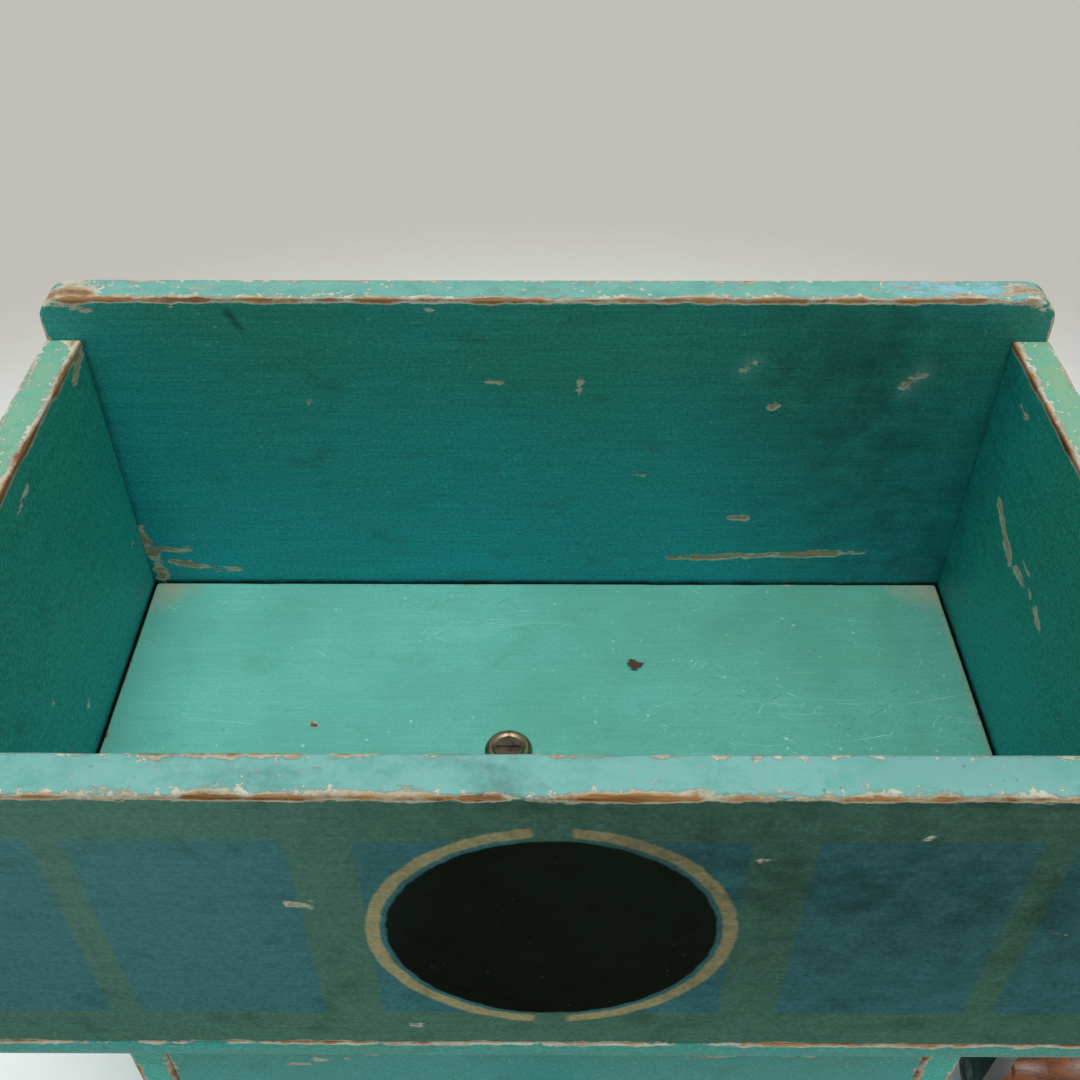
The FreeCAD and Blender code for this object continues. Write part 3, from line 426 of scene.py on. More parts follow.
    def soil(self, tree: Tree, place: Socket, coat: Socket, noise: dict[str, Socket],
             grime_and_shade: Socket) -> Socket:
        """Lay smudges, pale specks, grime and painted shade in corners and gaps, and fine straight scratches
        over the paint.

        Args:
            tree: the material's node tree.
            place: the Object coordinates, in metres.
            coat: the sound paint's colour.
            noise: the paint's patterns.
            grime_and_shade: how dirty each point is, and how much painted shade it gets.

        Returns:
            The soiled paint's colour.
        """
        smudge = add_node(tree, "MapRange", {}, noise["smudge"], 0.56, 0.72, 0.0, 0.35)
        # One soft speck in some of the cells; its radius is at most the given share of a cell.
        away = add_node(tree, "TexVoronoi", {}, place, PER_METRE / self.speck_cell)
        chance, strength, _ = add_node(tree, "SeparateColor", {}, away.node.outputs["Color"]).node.outputs
        radius = add_node(tree, "MapRange", {}, chance, 1 - self.speck_chance, 1.0, 0.0, self.speck_radius)
        speck = add_node(tree, "MapRange", {}, away, radius, 0.0, 0.0, strength)
        # Grime, and painted shade in gaps, corners and the tray's right-hand parts, from the age colour's
        # third channel, broken up by blotches.
        dirt_and_shade = add_node(tree, "Math", {"operation": "MULTIPLY"}, grime_and_shade, noise["blotch"])
        dirt_and_shade = add_node(tree, "MapRange", {}, dirt_and_shade, 0.04, 0.5)
        layers = [(smudge, self.smudge_colour), (speck, self.speck_colour), (dirt_and_shade, self.grime_and_shade)]
        # Real scratches are a tenth of a millimetre wide, and drawn wider so that they show. Their sweeps
        # cross, and they gather where a scoop has been at work.
        often = add_node(tree, "MapRange", {}, noise["cloud"], 0.4, 0.6, 0.0, 0.55)
        width = self.scratch_width * MM
        lines = [(*sweep, self.speck_colour) for sweep in self.sweeps]
        lines += [(*score, self.dark_wood) for score in self.scores]
        for angle, length, paint in lines:
            swept = add_node(tree, "Mapping", {"vector_type": "TEXTURE"}, place,
                             Rotation=(0, 0, math.radians(angle)), Scale=(length * MM, width, width))
            streak = add_node(tree, "TexNoise", {}, swept, 1.0, 1.0)
            layers.append((add_node(tree, "MapRange", {}, streak, 0.72, 0.8, 0.0, often), paint))
        for mask, paint in layers:
            coat = add_node(tree, "Mix", COLOURS, mask, coat, paint)
        return coat

    def wood(self, tree: Tree, noise: dict[str, Socket], handled: Socket) -> Socket:
        """Colour the bare wood: tan in chips, brown where handled, with dark fibres along the grain.

        Args:
            tree: the material's node tree.
            noise: the paint's patterns.
            handled: 1 where hands have rubbed, 0 where the paint has chipped.

        Returns:
            The wood's colour.
        """
        most = add_node(tree, "Math", SCALE_ADD, handled, 0.4, 0.45)
        figure = add_node(tree, "MapRange", {}, noise["fibre"], 0.42, 0.66, 0.0, most)
        tone = add_node(tree, "Mix", COLOURS, handled, self.tan, self.brown)
        return add_node(tree, "Mix", COLOURS, figure, tone, self.dark_wood)


@dataclass(frozen=True)
class PlainWood(Finish):
    """Unpainted wood, planed or turned: growth rings show as streaks along the grain, with fine dark pores.

    Sizes in mm: a streak's length and width, a pore's length and width, and how deep pores lie.
    """

    name: str
    light: str
    dark: str
    grain: Grain
    ring: float = 3.0
    roughness: float = 0.6
    streak: float = 60.0
    pore: Span = (6.0, 0.45)
    pore_depth: float = 0.06
    pore_shade: str = "#7A6450"
    swing: float = 0.08

    def mix(self, tree: Tree, place: Socket) -> dict[str, Value]:
        """Streak the wood along its grain and sink its pores.

        Args:
            tree: the material's node tree.
            place: the Object coordinates, in metres.

        Returns:
            What goes into the Principled shader.
        """
        rings = add_node(tree, "Mapping", {}, place, Scale=self.grain.scale(self.streak, self.ring))
        streak = add_node(tree, "TexNoise", {}, rings, 1.0, 4.0, 0.6, Distortion=0.4)
        figure = add_node(tree, "MapRange", {}, streak, 0.34, 0.68)
        wood = add_node(tree, "Mix", COLOURS, figure, self.light, self.dark)
        pores = add_node(tree, "Mapping", {}, place, Scale=self.grain.scale(*self.pore))
        sunk = add_node(tree, "MapRange", {}, add_node(tree, "TexNoise", {}, pores, 1.0, 2.0), 0.6, 0.7)
        colour = add_node(tree, "Mix", SHADES, sunk, wood, self.pore_shade)
        rough = add_node(tree, "MapRange", {}, streak, *NOISE_RANGE, self.roughness - self.swing,
                         self.roughness + self.swing)
        bump = add_node(tree, "Bump", {"invert": True}, 0.5, self.pore_depth * MM, Height=sunk)
        return {"Base Color": colour, "Roughness": rough, "Normal": bump}


@dataclass(frozen=True)
class CastIron(Finish):
    """Sand-cast iron under black lacquer: a grainy dark skin with soft gloss, and rust where it is thin.

    Sizes in mm. Casting sand is about half a millimetre, and drawn coarser so that it shows.
    """

    name: str = "lacquered_cast_iron"
    lacquer: str = "#1E1F20"
    worn: str = "#3A3834"
    rust: str = "#5B341D"
    sand: float = 1.2
    sand_depth: float = 0.12
    patch: float = 9.0
    sheen: Span = (0.34, 0.75)

    def mix(self, tree: Tree, place: Socket) -> dict[str, Value]:
        """Grain the lacquer with casting sand and let rust through in patches.

        Args:
            tree: the material's node tree.
            place: the Object coordinates, in metres.

        Returns:
            What goes into the Principled shader.
        """
        sand = add_node(tree, "TexNoise", {}, place, PER_METRE / self.sand, 3.0, 0.6)
        patch = add_node(tree, "TexNoise", {}, place, PER_METRE / self.patch, 7.0, 0.7)
        thin = add_node(tree, "MapRange", {}, patch, 0.5, 0.62)
        rusty = add_node(tree, "MapRange", {}, patch, 0.63, 0.7)
        skin = add_node(tree, "Mix", COLOURS, thin, self.lacquer, self.worn)
        skin = add_node(tree, "Mix", COLOURS, rusty, skin, self.rust)
        rough = add_node(tree, "MapRange", {}, patch, 0.4, 0.68, *self.sheen)
        bump = add_node(tree, "Bump", {}, 0.6, self.sand_depth * MM, Height=sand)
        return {"Base Color": skin, "Roughness": rough, "Normal": bump}


@dataclass(frozen=True)
class AgedMetal(Finish):
    """Bare metal that has been handled for decades: bright where rubbed, browned and dull in between.

    Sizes in mm: patches of tarnish, and fine scuffs with their depth.
    """

    name: str
    bright: str
    tarnish: str
    roughness: float = 0.34
    patch: float = 5.0
    scuff: float = 0.7
    scuff_depth: float = 0.05
    dulling: float = 0.3

    def mix(self, tree: Tree, place: Socket) -> dict[str, Value]:
        """Cloud the metal with tarnish and scuff it finely.

        Args:
            tree: the material's node tree.
            place: the Object coordinates, in metres.

        Returns:
            What goes into the Principled shader.
        """
        cloud = add_node(tree, "TexNoise", {}, place, PER_METRE / self.patch, 7.0, 0.68)
        scuff = add_node(tree, "TexNoise", {}, place, PER_METRE / self.scuff, 3.0)
        brown = add_node(tree, "MapRange", {}, cloud, 0.42, 0.66, 0.0, 0.9)
        colour = add_node(tree, "Mix", COLOURS, brown, self.bright, self.tarnish)
        rough = add_node(tree, "MapRange", {}, cloud, 0.36, 0.66, self.roughness,
                         self.roughness + self.dulling)
        bump = add_node(tree, "Bump", {}, 0.35, self.scuff_depth * MM, Height=scuff)
        return {"Base Color": colour, "Roughness": rough, "Normal": bump, "Metallic": 1.0}


@dataclass(frozen=True)
class StudioPaper(Finish):
    """Matt pale paper that the mill stands on: a faint mottle, a little greyer far from the mill.

    The mottle's size is in mm; the paper turns from near to far between two distances, in metres.
    """

    name: str = "studio_paper"
    near: str = "#E0E4E0"
    far: str = "#B4B1A9"
    turn: Span = (0.28, 0.5)
    mottle: float = 6.0
    roughness: float = 0.9

    def mix(self, tree: Tree, place: Socket) -> dict[str, Value]:
        """Shade the paper by its distance from the mill and mottle it.

        Args:
            tree: the material's node tree.
            place: the Object coordinates, in metres.

        Returns:
            What goes into the Principled shader.
        """
        away = add_node(tree, "VectorMath", {"operation": "LENGTH"}, place)
        fade = add_node(tree, "MapRange", {"interpolation_type": "SMOOTHSTEP"}, away, *self.turn)
        tone = add_node(tree, "Mix", COLOURS, fade, self.near, self.far)
        mottle = add_node(tree, "TexNoise", {}, place, PER_METRE / self.mottle, 4.0)
        shade = add_node(tree, "MapRange", {}, mottle, *NOISE_RANGE, 0.97)
        colour = add_node(tree, "Mix", SHADES, 1.0, tone, shade)
        return {"Base Color": colour, "Roughness": self.roughness}


def ripple(points: Array, size: float, seed: int, count: int = 12, gain: float = 1.9) -> Array:
    """Give a smooth irregular field: the mean of some sine waves in seeded directions, times a gain.

    Args:
        points: places, in mm, one row each.
        size: the usual distance between crests, in mm.
        seed: picks the directions and phases.
        count: how many waves.
        gain: what brings most values up to between -1 and 1.

    Returns:
        One value for each point.
    """
    draw = np.random.default_rng(seed)
    waves = draw.normal(size=(count, 3)) * (2 * math.pi / size) / math.sqrt(3)
    return gain * np.sin(points @ waves.T + draw.uniform(0, 2 * math.pi, count)).mean(axis=1)


def stations(low: float, high: float, pitch: float, also: tuple[float, ...] = ()) -> Array:
    """Give even stations that also stand on some values: each run between two stops is divided alike.

    Args:
        low: the first station.
        high: the last station.
        pitch: the distance to come near to.
        also: values that get a station of their own.

    Returns:
        The stations in rising order.
    """
    stops = np.unique(np.round([low, high, *also], 6))
    runs = [np.linspace(a, b, max(1, round((b - a) / pitch)) + 1)[:-1]
            for a, b in zip(stops[:-1], stops[1:])]
    return np.append(np.concatenate(runs), stops[-1])


@dataclass(frozen=True)
class Mark:
    """A stretch where age shows: a line from start to end, in mm, full depth on it and none at its width."""

    start: Point
    end: Point
    width: float
    depth: float

    def on(self, points: Array) -> Array:
        """Give the mark's depth at each point: depth times one minus distance over width, and not under 0.

        Args:
            points: places, in mm, one row each.

        Returns:
            One depth for each point.
        """
        start, run = np.array(self.start), np.subtract(self.end, self.start)
        share = np.clip((points - start) @ run / max(run @ run, TINY), 0, 1)
        away = np.linalg.norm(points - start - share[:, None] * run, axis=1)
        return self.depth * np.clip(1 - away / self.width, 0, None)


Marks = Sequence[Mark]


def strongest(marks: Marks, points: Array) -> Array:
    """Give the strongest of the marks at each point, and 0 with no marks."""
    return np.max([mark.on(points) for mark in marks] + [np.zeros(len(points))], axis=0)


def corners_of(node: str) -> tuple[Array, Array]:
    """Give a CAD node's lowest and highest corners, in mm."""
    low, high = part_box(node)
    return np.array(low) / MM, np.array(high) / MM


def edges(node: str, width: float, depth: float, *names: str, drop: float = 0.0) -> list[Mark]:
    """Give marks along a board's edges.

    Args:
        node: the board's CAD node.
        width: how far the mark reaches, in mm.
        depth: the mark's depth on the edge.
        names: each edge's two faces, such as "-y+z".
        drop: how far below the edge the marks lie, in mm.

    Returns:
        One mark for each edge.
    """
    low, high = corners_of(node)
    marks = []
    for name in names:
        start, end = low.copy(), high.copy()
        for sign, axis in (name[:2], name[2:]):
            at = "xyz".index(axis)
            start[at] = end[at] = high[at] if sign == "+" else low[at]
        start[2], end[2] = start[2] - drop, end[2] - drop
        marks.append(Mark(tuple(start), tuple(end), width, depth))
    return marks


def knocks(node: str, face: str, count: int, seed: int) -> list[Mark]:
    """Scatter short level chips over one face of a board by seeded chance.

    Their lengths follow a gamma distribution, and their ends rise or fall a little.

    Args:
        node: the board's CAD node.
        face: the face, such as "-y".
        count: how many chips.
        seed: picks their places and sizes.

    Returns:
        One mark for each chip.
    """
    low, high = corners_of(node)
    draw = np.random.default_rng(seed)
    at = "xyz".index(face[1])
    along = 1 if at == 0 else 0
    start = draw.uniform(low, high, (count, 3))
    start[:, at] = high[at] if face[0] == "+" else low[at]
    end = start.copy()
    end[:, along] += draw.gamma(1.2, 3.0, count)
    end[:, 2] += draw.normal(0, 0.8, count)
    least, most = (1.6, 0.48), (3.0, 0.7)
    sizes = draw.uniform(least, most, (count, 2))
    return [Mark(tuple(a), tuple(b), *size) for a, b, size in zip(start, end, sizes)]


@dataclass
class Age:
    """What the years did to a board: where it is chipped, rubbed, dirty, turned cool and scuffed pale; and
    where light and shade are painted on it.
    """

    chips: Marks = ()
    rubbed: Marks = ()
    # Grime marks also paint shade; tint and scuff marks also paint light.
    grime_and_shade: Marks = ()
    tint_and_light: Marks = ()
    scuffs_and_light: Marks = ()
    pale_top: bool = False
    cool_heights: Span | None = None
    even_tint: float = 0.3
    uneven: float = 0.2
    wander_sizes: Span = (14.0, 37.0)
    pale_depth: float = 1.0
    pale_fade: float = 0.6
    wiped: float = 0.8

    def on(self, points: Array, seed: int) -> tuple[Array, Array]:
        """Give each point's age.

        Wear wanders along its marks. Paleness lies on scuffs, on broad patches of painted light and on the
        top edge, and is gone at pale_depth below it; most grime and painted shade is wiped off there. Tint
        rises evenly from one height to another, and low on the tray's walls it is painted bounce light.
        Handled is rubbed wear's share of all wear.

        Args:
            points: the board's points, in mm.
            seed: picks how the wear wanders.

        Returns:
            Wear, paleness, grime with painted shade and tint with painted light in four columns, and handled.
        """
        height = points[:, 2]
        chips, rubbed = strongest(self.chips, points), strongest(self.rubbed, points)
        short, long = self.wander_sizes
        wander = 0.95 + self.uneven * (ripple(points, short, seed) + 0.7 * ripple(points, long, seed + 1))
        wear = np.maximum(chips, rubbed) * wander
        pale = strongest(self.scuffs_and_light, points)
        if self.pale_top:
            above = height - height.max() + self.pale_depth
            pale = np.maximum(pale, np.clip(above / self.pale_fade, 0, 1))
        tint_and_light = np.full(len(points), self.even_tint)
        if self.cool_heights:
            first, last = self.cool_heights
            tint_and_light = np.clip((height - first) / (last - first), 0, 1)
        tint_and_light = np.maximum(tint_and_light, strongest(self.tint_and_light, points))
        grime_and_shade = strongest(self.grime_and_shade, points) * (1 - self.wiped * pale)
        return np.stack([wear, pale, grime_and_shade, tint_and_light], axis=1), rubbed / np.maximum(rubbed + chips, TINY)


@dataclass
class Board:
    """A painted board with eased arrises and uneven faces. Sizes in mm; its box is its CAD node's.

    The two faces are grids inside the outline, inset by the larger arris radius. The rim is the outline
    carried through the thickness: out along a quarter circle, straight, and in along another.
    """

    node: str
    finish: Finish
    across: int
    age: Age
    body: str = "frame"
    slot: str = "painted_wood"
    arris: Span = (0.9, 0.9)
    corners: Span = (0.0, 0.0)
    pitch: float = 1.0
    hole: Opening | None = None
    seed: int = 1
    arc_steps: int = 5
    rim_pitch: float = 1.6
    least_corner: float = 0.3
    most_dented: float = 1.0
    knock_size: float = 13.0
    knock_from: float = 0.35
    knock_least: float = 0.12
    knock_share: float = 0.75
    wave_size: float = 70.0
    wave_height: float = 0.05

    def build(self) -> Piece:
        """Make the board's mesh, set its age and dress it.

        Returns:
            The board, riding on its body in its node's place.
        """
        points, quads = self.surface()
        points = points - self.dents(points)
        colour, handled = self.age.on(points, self.seed + 5)
        mesh = bpy.data.meshes.new(self.node + "_board")
        mesh.from_pydata((points * MM).tolist(), [], quads.tolist())
        mesh.polygons.foreach_set("use_smooth", np.ones(len(quads), bool))
        mesh.attributes.new("age", "FLOAT_COLOR", "POINT").data.foreach_set("color", colour.ravel())
        mesh.attributes.new("handled", "FLOAT", "POINT").data.foreach_set("value", handled)
        mesh.update()
        piece = bpy.data.objects.new(self.node + "_board", mesh)
        bpy.context.scene.collection.objects.link(piece)
        self.finish.dress(piece)
        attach(piece, self.body)
        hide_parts(self.node)
        LOG.info("%s: %d points", piece.name, len(points))
        return piece

    def surface(self) -> tuple[Array, Array]:
        """Work out the board's closed surface.

        Grid points in a corner square move in along their own direction until the square's sides lie on the
        corner's arc: the larger of the two offsets over their length is the factor.

        Returns:
            The points in mm, and the quads that join them, which face outwards.
        """
        low, high = corners_of(self.node)
        plane = [axis for axis in range(3) if axis != self.across]
        edge = max(self.arris)
        radii = [max(radius - edge, self.least_corner) for radius in self.corners]
        lows, highs = (low + edge)[plane], (high - edge)[plane]
        (a0, b0), (a1, b1) = lows, highs
        cuts = self.hole or (a0, a1, b0, b1)
        stops = [a for radius in radii for a in (a0 + radius, a1 - radius)]
        along = stations(a0, a1, self.pitch, (*stops, *cuts[:2]))
        up = stations(b0, b1, self.pitch, (b0 + radii[0], b1 - radii[1], *cuts[2:]))
        grid = np.stack(np.meshgrid(along, up, indexing="ij"))
        out = np.zeros_like(grid)
        out[0, 0], out[0, -1], out[1, :, 0], out[1, :, -1] = -1, 1, -1, 1
        for corner in ((-1, -1), (1, -1), (-1, 1), (1, 1)):
            side = np.array(corner)
            centre = np.where(side > 0, highs, lows) - side * radii[side[1] > 0]
            side, centre = side[:, None, None], centre[:, None, None]
            reach = side * (grid - centre)
            inside = (reach > TINY).all(axis=0)
            length = np.maximum(np.hypot(*reach), TINY)
            grid = np.where(inside, centre + side * reach * (reach.max(axis=0) / length), grid)
            out = np.where(inside, side * reach / length, out)

        count = grid[0].size
        index = np.arange(count).reshape(grid[0].shape)
        loop = np.concatenate([index[:, 0], index[-1, 1:], index[-2::-1, -1], index[0, -2:0:-1]])
        thick = high[self.across] - low[self.across]
        outset, depths = self.rim(thick)
        flat, out = grid.reshape(2, -1), out.reshape(2, -1)
        around = flat[:, None, loop] + outset[:, None] * out[:, None, loop]
        points = np.empty((2 * count + around[0].size, 3))
        points[:, plane] = np.concatenate([flat, flat, around.reshape(2, -1)], axis=1).T
        points[:, self.across] = low[self.across] + np.concatenate(
            [np.zeros(count), np.full(count, thick), np.repeat(depths, len(loop))])

        rings = np.vstack([loop, np.arange(2 * count, len(points)).reshape(-1, len(loop)), count + loop])
        ahead = np.roll(rings, -1, axis=1)
        rim = np.stack([rings[:-1], ahead[:-1], ahead[1:], rings[1:]], axis=-1).reshape(-1, 4)
        cells = np.stack([index[:-1, :-1], index[:-1, 1:], index[1:, 1:], index[1:, :-1]], axis=-1)
        solid = np.ones(cells.shape[:2], bool)
        walls = np.empty((0, 4), int)
        if self.hole:
            just_under = np.array(self.hole) - 100 * TINY
            i0, i1 = np.searchsorted(along, just_under[:2])
            j0, j1 = np.searchsorted(up, just_under[2:])
            solid[i0:i1, j0:j1] = False
            ring = np.concatenate([
                index[i0:i1, j0], index[i1, j0:j1], index[i1:i0:-1, j1], index[i0, j1:j0:-1]])
            onward = np.roll(ring, -1)
            walls = np.stack([ring, ring + count, onward + count, onward], axis=-1)
        face = cells[solid]
        quads = np.concatenate([face, face[:, ::-1] + count, rim, walls])
        used, packed = np.unique(quads, return_inverse=True)
        points, quads = points[used], packed.reshape(quads.shape)
        return points, quads if self.volume(points, quads) > 0 else quads[:, ::-1]

    def rim(self, thick: float) -> tuple[Array, Array]:
        """Give the rim's profile from the low face to the high one.

        Args:
            thick: the board's thickness, in mm.

        Returns:
            How far each ring stands out from the faces' grids, and how far it lies from the low face.
        """
        low, high = self.arris
        edge = max(self.arris)
        turn = np.linspace(0, math.pi / 2, self.arc_steps + 1)
        start = turn[1:] if low == edge else turn
        finish = turn[:0:-1] if high == edge else turn[::-1]
        flat = stations(low, thick - high, self.rim_pitch)[1:-1]
        outset = np.concatenate([edge - low * (1 - np.sin(start)), np.full(len(flat), edge),
                                 edge - high * (1 - np.sin(finish))])
        depths = np.concatenate([low * (1 - np.cos(start)), flat, thick - high * (1 - np.cos(finish))])
        return outset, depths

    def dents(self, points: Array) -> Array:
        """Give how far hand-work and knocks have moved each point inwards.

        The arrises are knocked in where a ripple is high, and the faces wave a little.

        Args:
            points: the board's points, in mm.

        Returns:
            One step for each point.
        """
        low, high = corners_of(self.node)
        edge = min(max(self.arris), self.most_dented)
        middle, half = (low + high) / 2, (high - low) / 2
        beyond = (np.abs(points - middle) - half + edge) / edge
        outwards = np.sign(points - middle) * np.clip(beyond, 0, 1)
        corner = np.prod(np.sort(np.abs(outwards), axis=1)[:, 1:], axis=1)
        waves = ripple(points, self.knock_size, self.seed)
        knocked = np.clip(waves - self.knock_from, 0, 1) + self.knock_least
        sunk = outwards * (self.knock_share * edge * corner * knocked)[:, None]
        flat = np.abs(outwards[:, self.across]) > 0.5
        sunk[:, self.across] += self.wave_height * ripple(points, self.wave_size, self.seed + 1) * flat
        return sunk

    @staticmethod
    def volume(points: Array, quads: Array) -> float:
        """Give the signed volume, positive where the quads face outwards."""
        p, q, r, s = (points[quads[:, corner]] for corner in range(4))
        return float(np.einsum("ij,ij->", p, np.cross(q, r) + np.cross(r, s)) / 6)


# The tray's paint, with brush marks along its boards; the sides' top edges have yellowed. Its cooler colour
# is also lighter, and low on the tray's walls it is painted bounce light from the floor.
TEAL_X = OilPaint("teal_oil_paint_along_x", sweeps=((0, 6),), speck_chance=0.85, brush_depth=0.12,
                  grit_depth=0.25)
TEAL_Y = OilPaint("teal_oil_paint_along_y", coat="#30A089", cooler="#22A6A0", pale="#76A98F", sky="#7FA77C",
                  chipped="#D9D8C6", tan="#D8CFAE", grain=Grain.Y, grit_depth=0.32, sweeps=((90, 6),),
                  speck_chance=0.9)
# The front's grime colour is the dark of the painted shade over its right half.
STENCILLED = OilPaint("stencilled_oil_paint", coat="#496F60", cooler="#40685C", pale="#77AEA5",
                      grime_and_shade="#16241C", speck_colour="#465C51", smudge_colour="#14201A", gloss=0.0,
                      primer="#B9BFAC", brush_depth=0.08, stencil=Stencil())
# The floor is a lighter mix of the same paint, crossed by the fine scratches of beans and scoops. Its cooler
# colour is also lighter, and over the floor's left side it is painted light.
MINT = OilPaint("mint_oil_paint", coat="#468876", cooler="#5EAF9F", primer="#1F3A30", chipped="#A9A892",
                tan="#46525A", brown="#5A2F1B", dark_wood="#3A2013", grime_and_shade="#97A088",
                speck_colour="#A5D6CB", smudge_colour="#4C8A70", brush_depth=0.05, grit_depth=0.07,
                sweeps=((3, 34), (-7, 26), (12, 18), (-34, 5), (58, 4)), scores=((36, 5), (-24, 4)))
# Planed pine is pale and dull; oiled beech is dark, with a soft shine where hands turn it.
PINE = PlainWood("planed_pine", "#C9A06A", "#A9783F", Grain.X)
PINE_Y = PlainWood("planed_pine_along_y", "#C9A06A", "#A9783F", Grain.Y)
TURNED = PlainWood("oiled_turned_beech", "#7A4723", "#4C2710", Grain.X, 2.0, 0.38)
TURNED_KNOB = PlainWood("oiled_turned_beech_knob", "#7A4723", "#4C2710", Grain.Y, 2.0, 0.38)
# The metals differ in how far they have dulled: plate and brass still shine, screw steel hardly does.
IRON = CastIron()
STEEL = AgedMetal("dull_steel", "#9A968E", "#5C5047")
NICKEL = AgedMetal("worn_nickel_plate", "#9C9277", "#544832", 0.28, 3.0)
BROWNED = AgedMetal("browned_steel", "#6E6558", "#35281D", 0.42, 3.0)
BRASS = AgedMetal("aged_brass", "#B08D4C", "#6B4F25", 0.3)


@dataclass
class Assembly(ABC):
    """A part of the mill whose pieces are built and dressed together."""

    nodes: dict[str, Piece]

    @abstractmethod
    def build(self) -> None:
        """Build the new pieces and dress the kept ones."""

    def keep(self, finish: Finish, *names: str) -> None:
        """Dress CAD nodes whose solids are right as they are.

        Args:
            finish: what they are made of.
            names: the nodes.
        """
        for name in names:
            finish.dress(self.nodes[name])
            LOG.info("%s keeps its solid, in %s", name, finish.name)


@dataclass
class BeanTray(Assembly):
    """The open tray on top: four walls round a loose floor panel. Sizes in mm."""

    crown: float = 6.5
    rim: float = 195.0
    top: float = 205.4
    inner: Span = (102.0, 56.0)
    outer: Span = (110.0, 64.0)
    floor_top: float = 121.0
    gap_height: float = 119.4
    # The tray's walls turn cooler and lighter from the upper height down to the lower: painted bounce light
    # from the floor.
    cool_heights: Span = (190.0, 126.0)
    throat_seat: Opening = THROAT_SEAT

    def build(self) -> None:
        """Build the five boards and dress the floor's screw."""
        self.back()
        self.side("tray_side_left", 1, [
            Mark((-103, 55, 194.4), (-101.9, 47, 190.5), 3.8, 0.86),
            Mark((-106, 55.5, 195), (-102, 55.5, 195), 3.0, 0.62),
        ])
        self.side("tray_side_right", -1, [
            Mark((102, 37.5, 163.8), (102, 25.0, 158.4), 3.2, 0.95),
            Mark((102, 21.2, 158.9), (102, 11.8, 160.6), 2.6, 0.8),
            Mark((102, 7.9, 160.1), (102, 2.6, 158.1), 2.4, 0.76),
        ])
        self.front()
        self.floor()

    def back(self) -> None:
        """Build the back, whose rounded top ends are rubbed bare."""
        inside, end, top = self.inner[1], self.outer[0], self.top
        rubbed = edges("tray_back", 1.6, 1.0, "-y+z", drop=0.6)
        rubbed += edges("tray_back", 3.2, 0.6, "-y+z", "+y+z", "-x+y", "+x+y")
        for side in (-1, 1):
            tip, shoulder, outline = (side * (end - inset) for inset in (0.5, 2, 0))
            rubbed += [
                Mark((tip, 59, top - 8), (shoulder, 59, top - 1.5), 5.0, 0.7),
                Mark((shoulder, 59.5, top - 1.5), (side * (end - 11), 58.5, top), 6.5, 0.9),
                Mark((outline, inside, self.rim), (outline, inside, top - 5), 1.8, 0.95),
            ]
        rubbed += [Mark((-100, 60, top), (60, 60, top), 8.0, 0.3),
                   Mark((70, 60, top), (98, 60, top), 9.0, 0.34)]
        chips = [Mark((x0, inside, z0), (x1, inside, z1), width, depth) for x0, z0, x1, z1, width, depth in (
            (-102.0, 139.0, -99.5, 123.0, 4.6, 0.7),
            (-99.0, 132.5, -91.0, 131.8, 2.8, 0.66),
            (-96.0, 127.6, -86.0, 126.0, 2.8, 0.62),
            (-85.5, 125.8, -79.0, 125.4, 3.2, 0.7),
            (38.0, 129.8, 74.0, 131.2, 2.3, 1.0),
            (31.0, 129.6, 82.0, 131.6, 1.6, 0.68),
            (45.5, 143.0, 49.5, 143.0, 2.2, 0.72),
            (-82.0, 203.0, -80.0, 203.2, 1.8, 0.6),
            (-26.0, 202.6, -24.0, 202.8, 2.0, 0.62),
            (44.0, 187.2, 46.2, 189.0, 3.2, 0.6),
            (80.6, 182.6, 84.6, 186.4, 4.0, 0.6),
            (7.2, 180.4, 8.0, 184.4, 2.2, 0.6),
            (-13.5, 183.5, -10.5, 183.5, 2.0, 0.66),
            (51.5, 177.0, 52.5, 177.4, 2.4, 0.64),
            (63.0, 184.6, 65.5, 184.0, 2.0, 0.6),
            (21.0, 157.2, 24.0, 157.0, 1.8, 0.66),
            (-54.0, 176.0, -54.0, 179.0, 2.0, 0.55),
        )]
        chips += knocks("tray_back", "+y", 26, 12)
        gap, corner = self.gap_height, self.inner[0]
        # Painted shade: a dark line in the floor's gap, a broad dark patch on the right of the inner face and
        # dark lines in the two inner corners. The small dark mark near the top left is dirt.
        grime_and_shade = [
            Mark((-corner, inside, gap), (corner, inside, gap), 2.4, 1.9),
            Mark((72, inside, 190), (90, inside, 130), 57.0, 0.53),
            Mark((-69, inside, 202), (-66.5, inside, 197.5), 1.5, 0.8),
        ]
        grime_and_shade += [Mark((side * corner, inside, self.floor_top), (side * corner, inside, self.rim), 1.2, 0.6)
                  for side in (-1, 1)]
        # The cool patch at the right end of the top is the paint's own; the broad cool, lighter patch low on
        # the left of the inner face is painted light.
        tint_and_light = [Mark((80, 60, top), (96, 60, top), 9.0, 0.9),
                Mark((-corner, inside, 152), (-corner, inside, 130), 58.0, 0.95)]
        scuffs_and_light = [Mark((44.2, inside, 186.8), (46.0, inside, 189.6), 4.0, 0.34),
                  Mark((81.2, inside, 181.6), (84.4, inside, 187.2), 4.4, 0.4)]
        age = Age(chips, rubbed, grime_and_shade, tint_and_light, scuffs_and_light, pale_top=True, cool_heights=self.cool_heights)
        Board("tray_back", TEAL_X, 1, age, corners=(0.0, self.crown), seed=11).build()

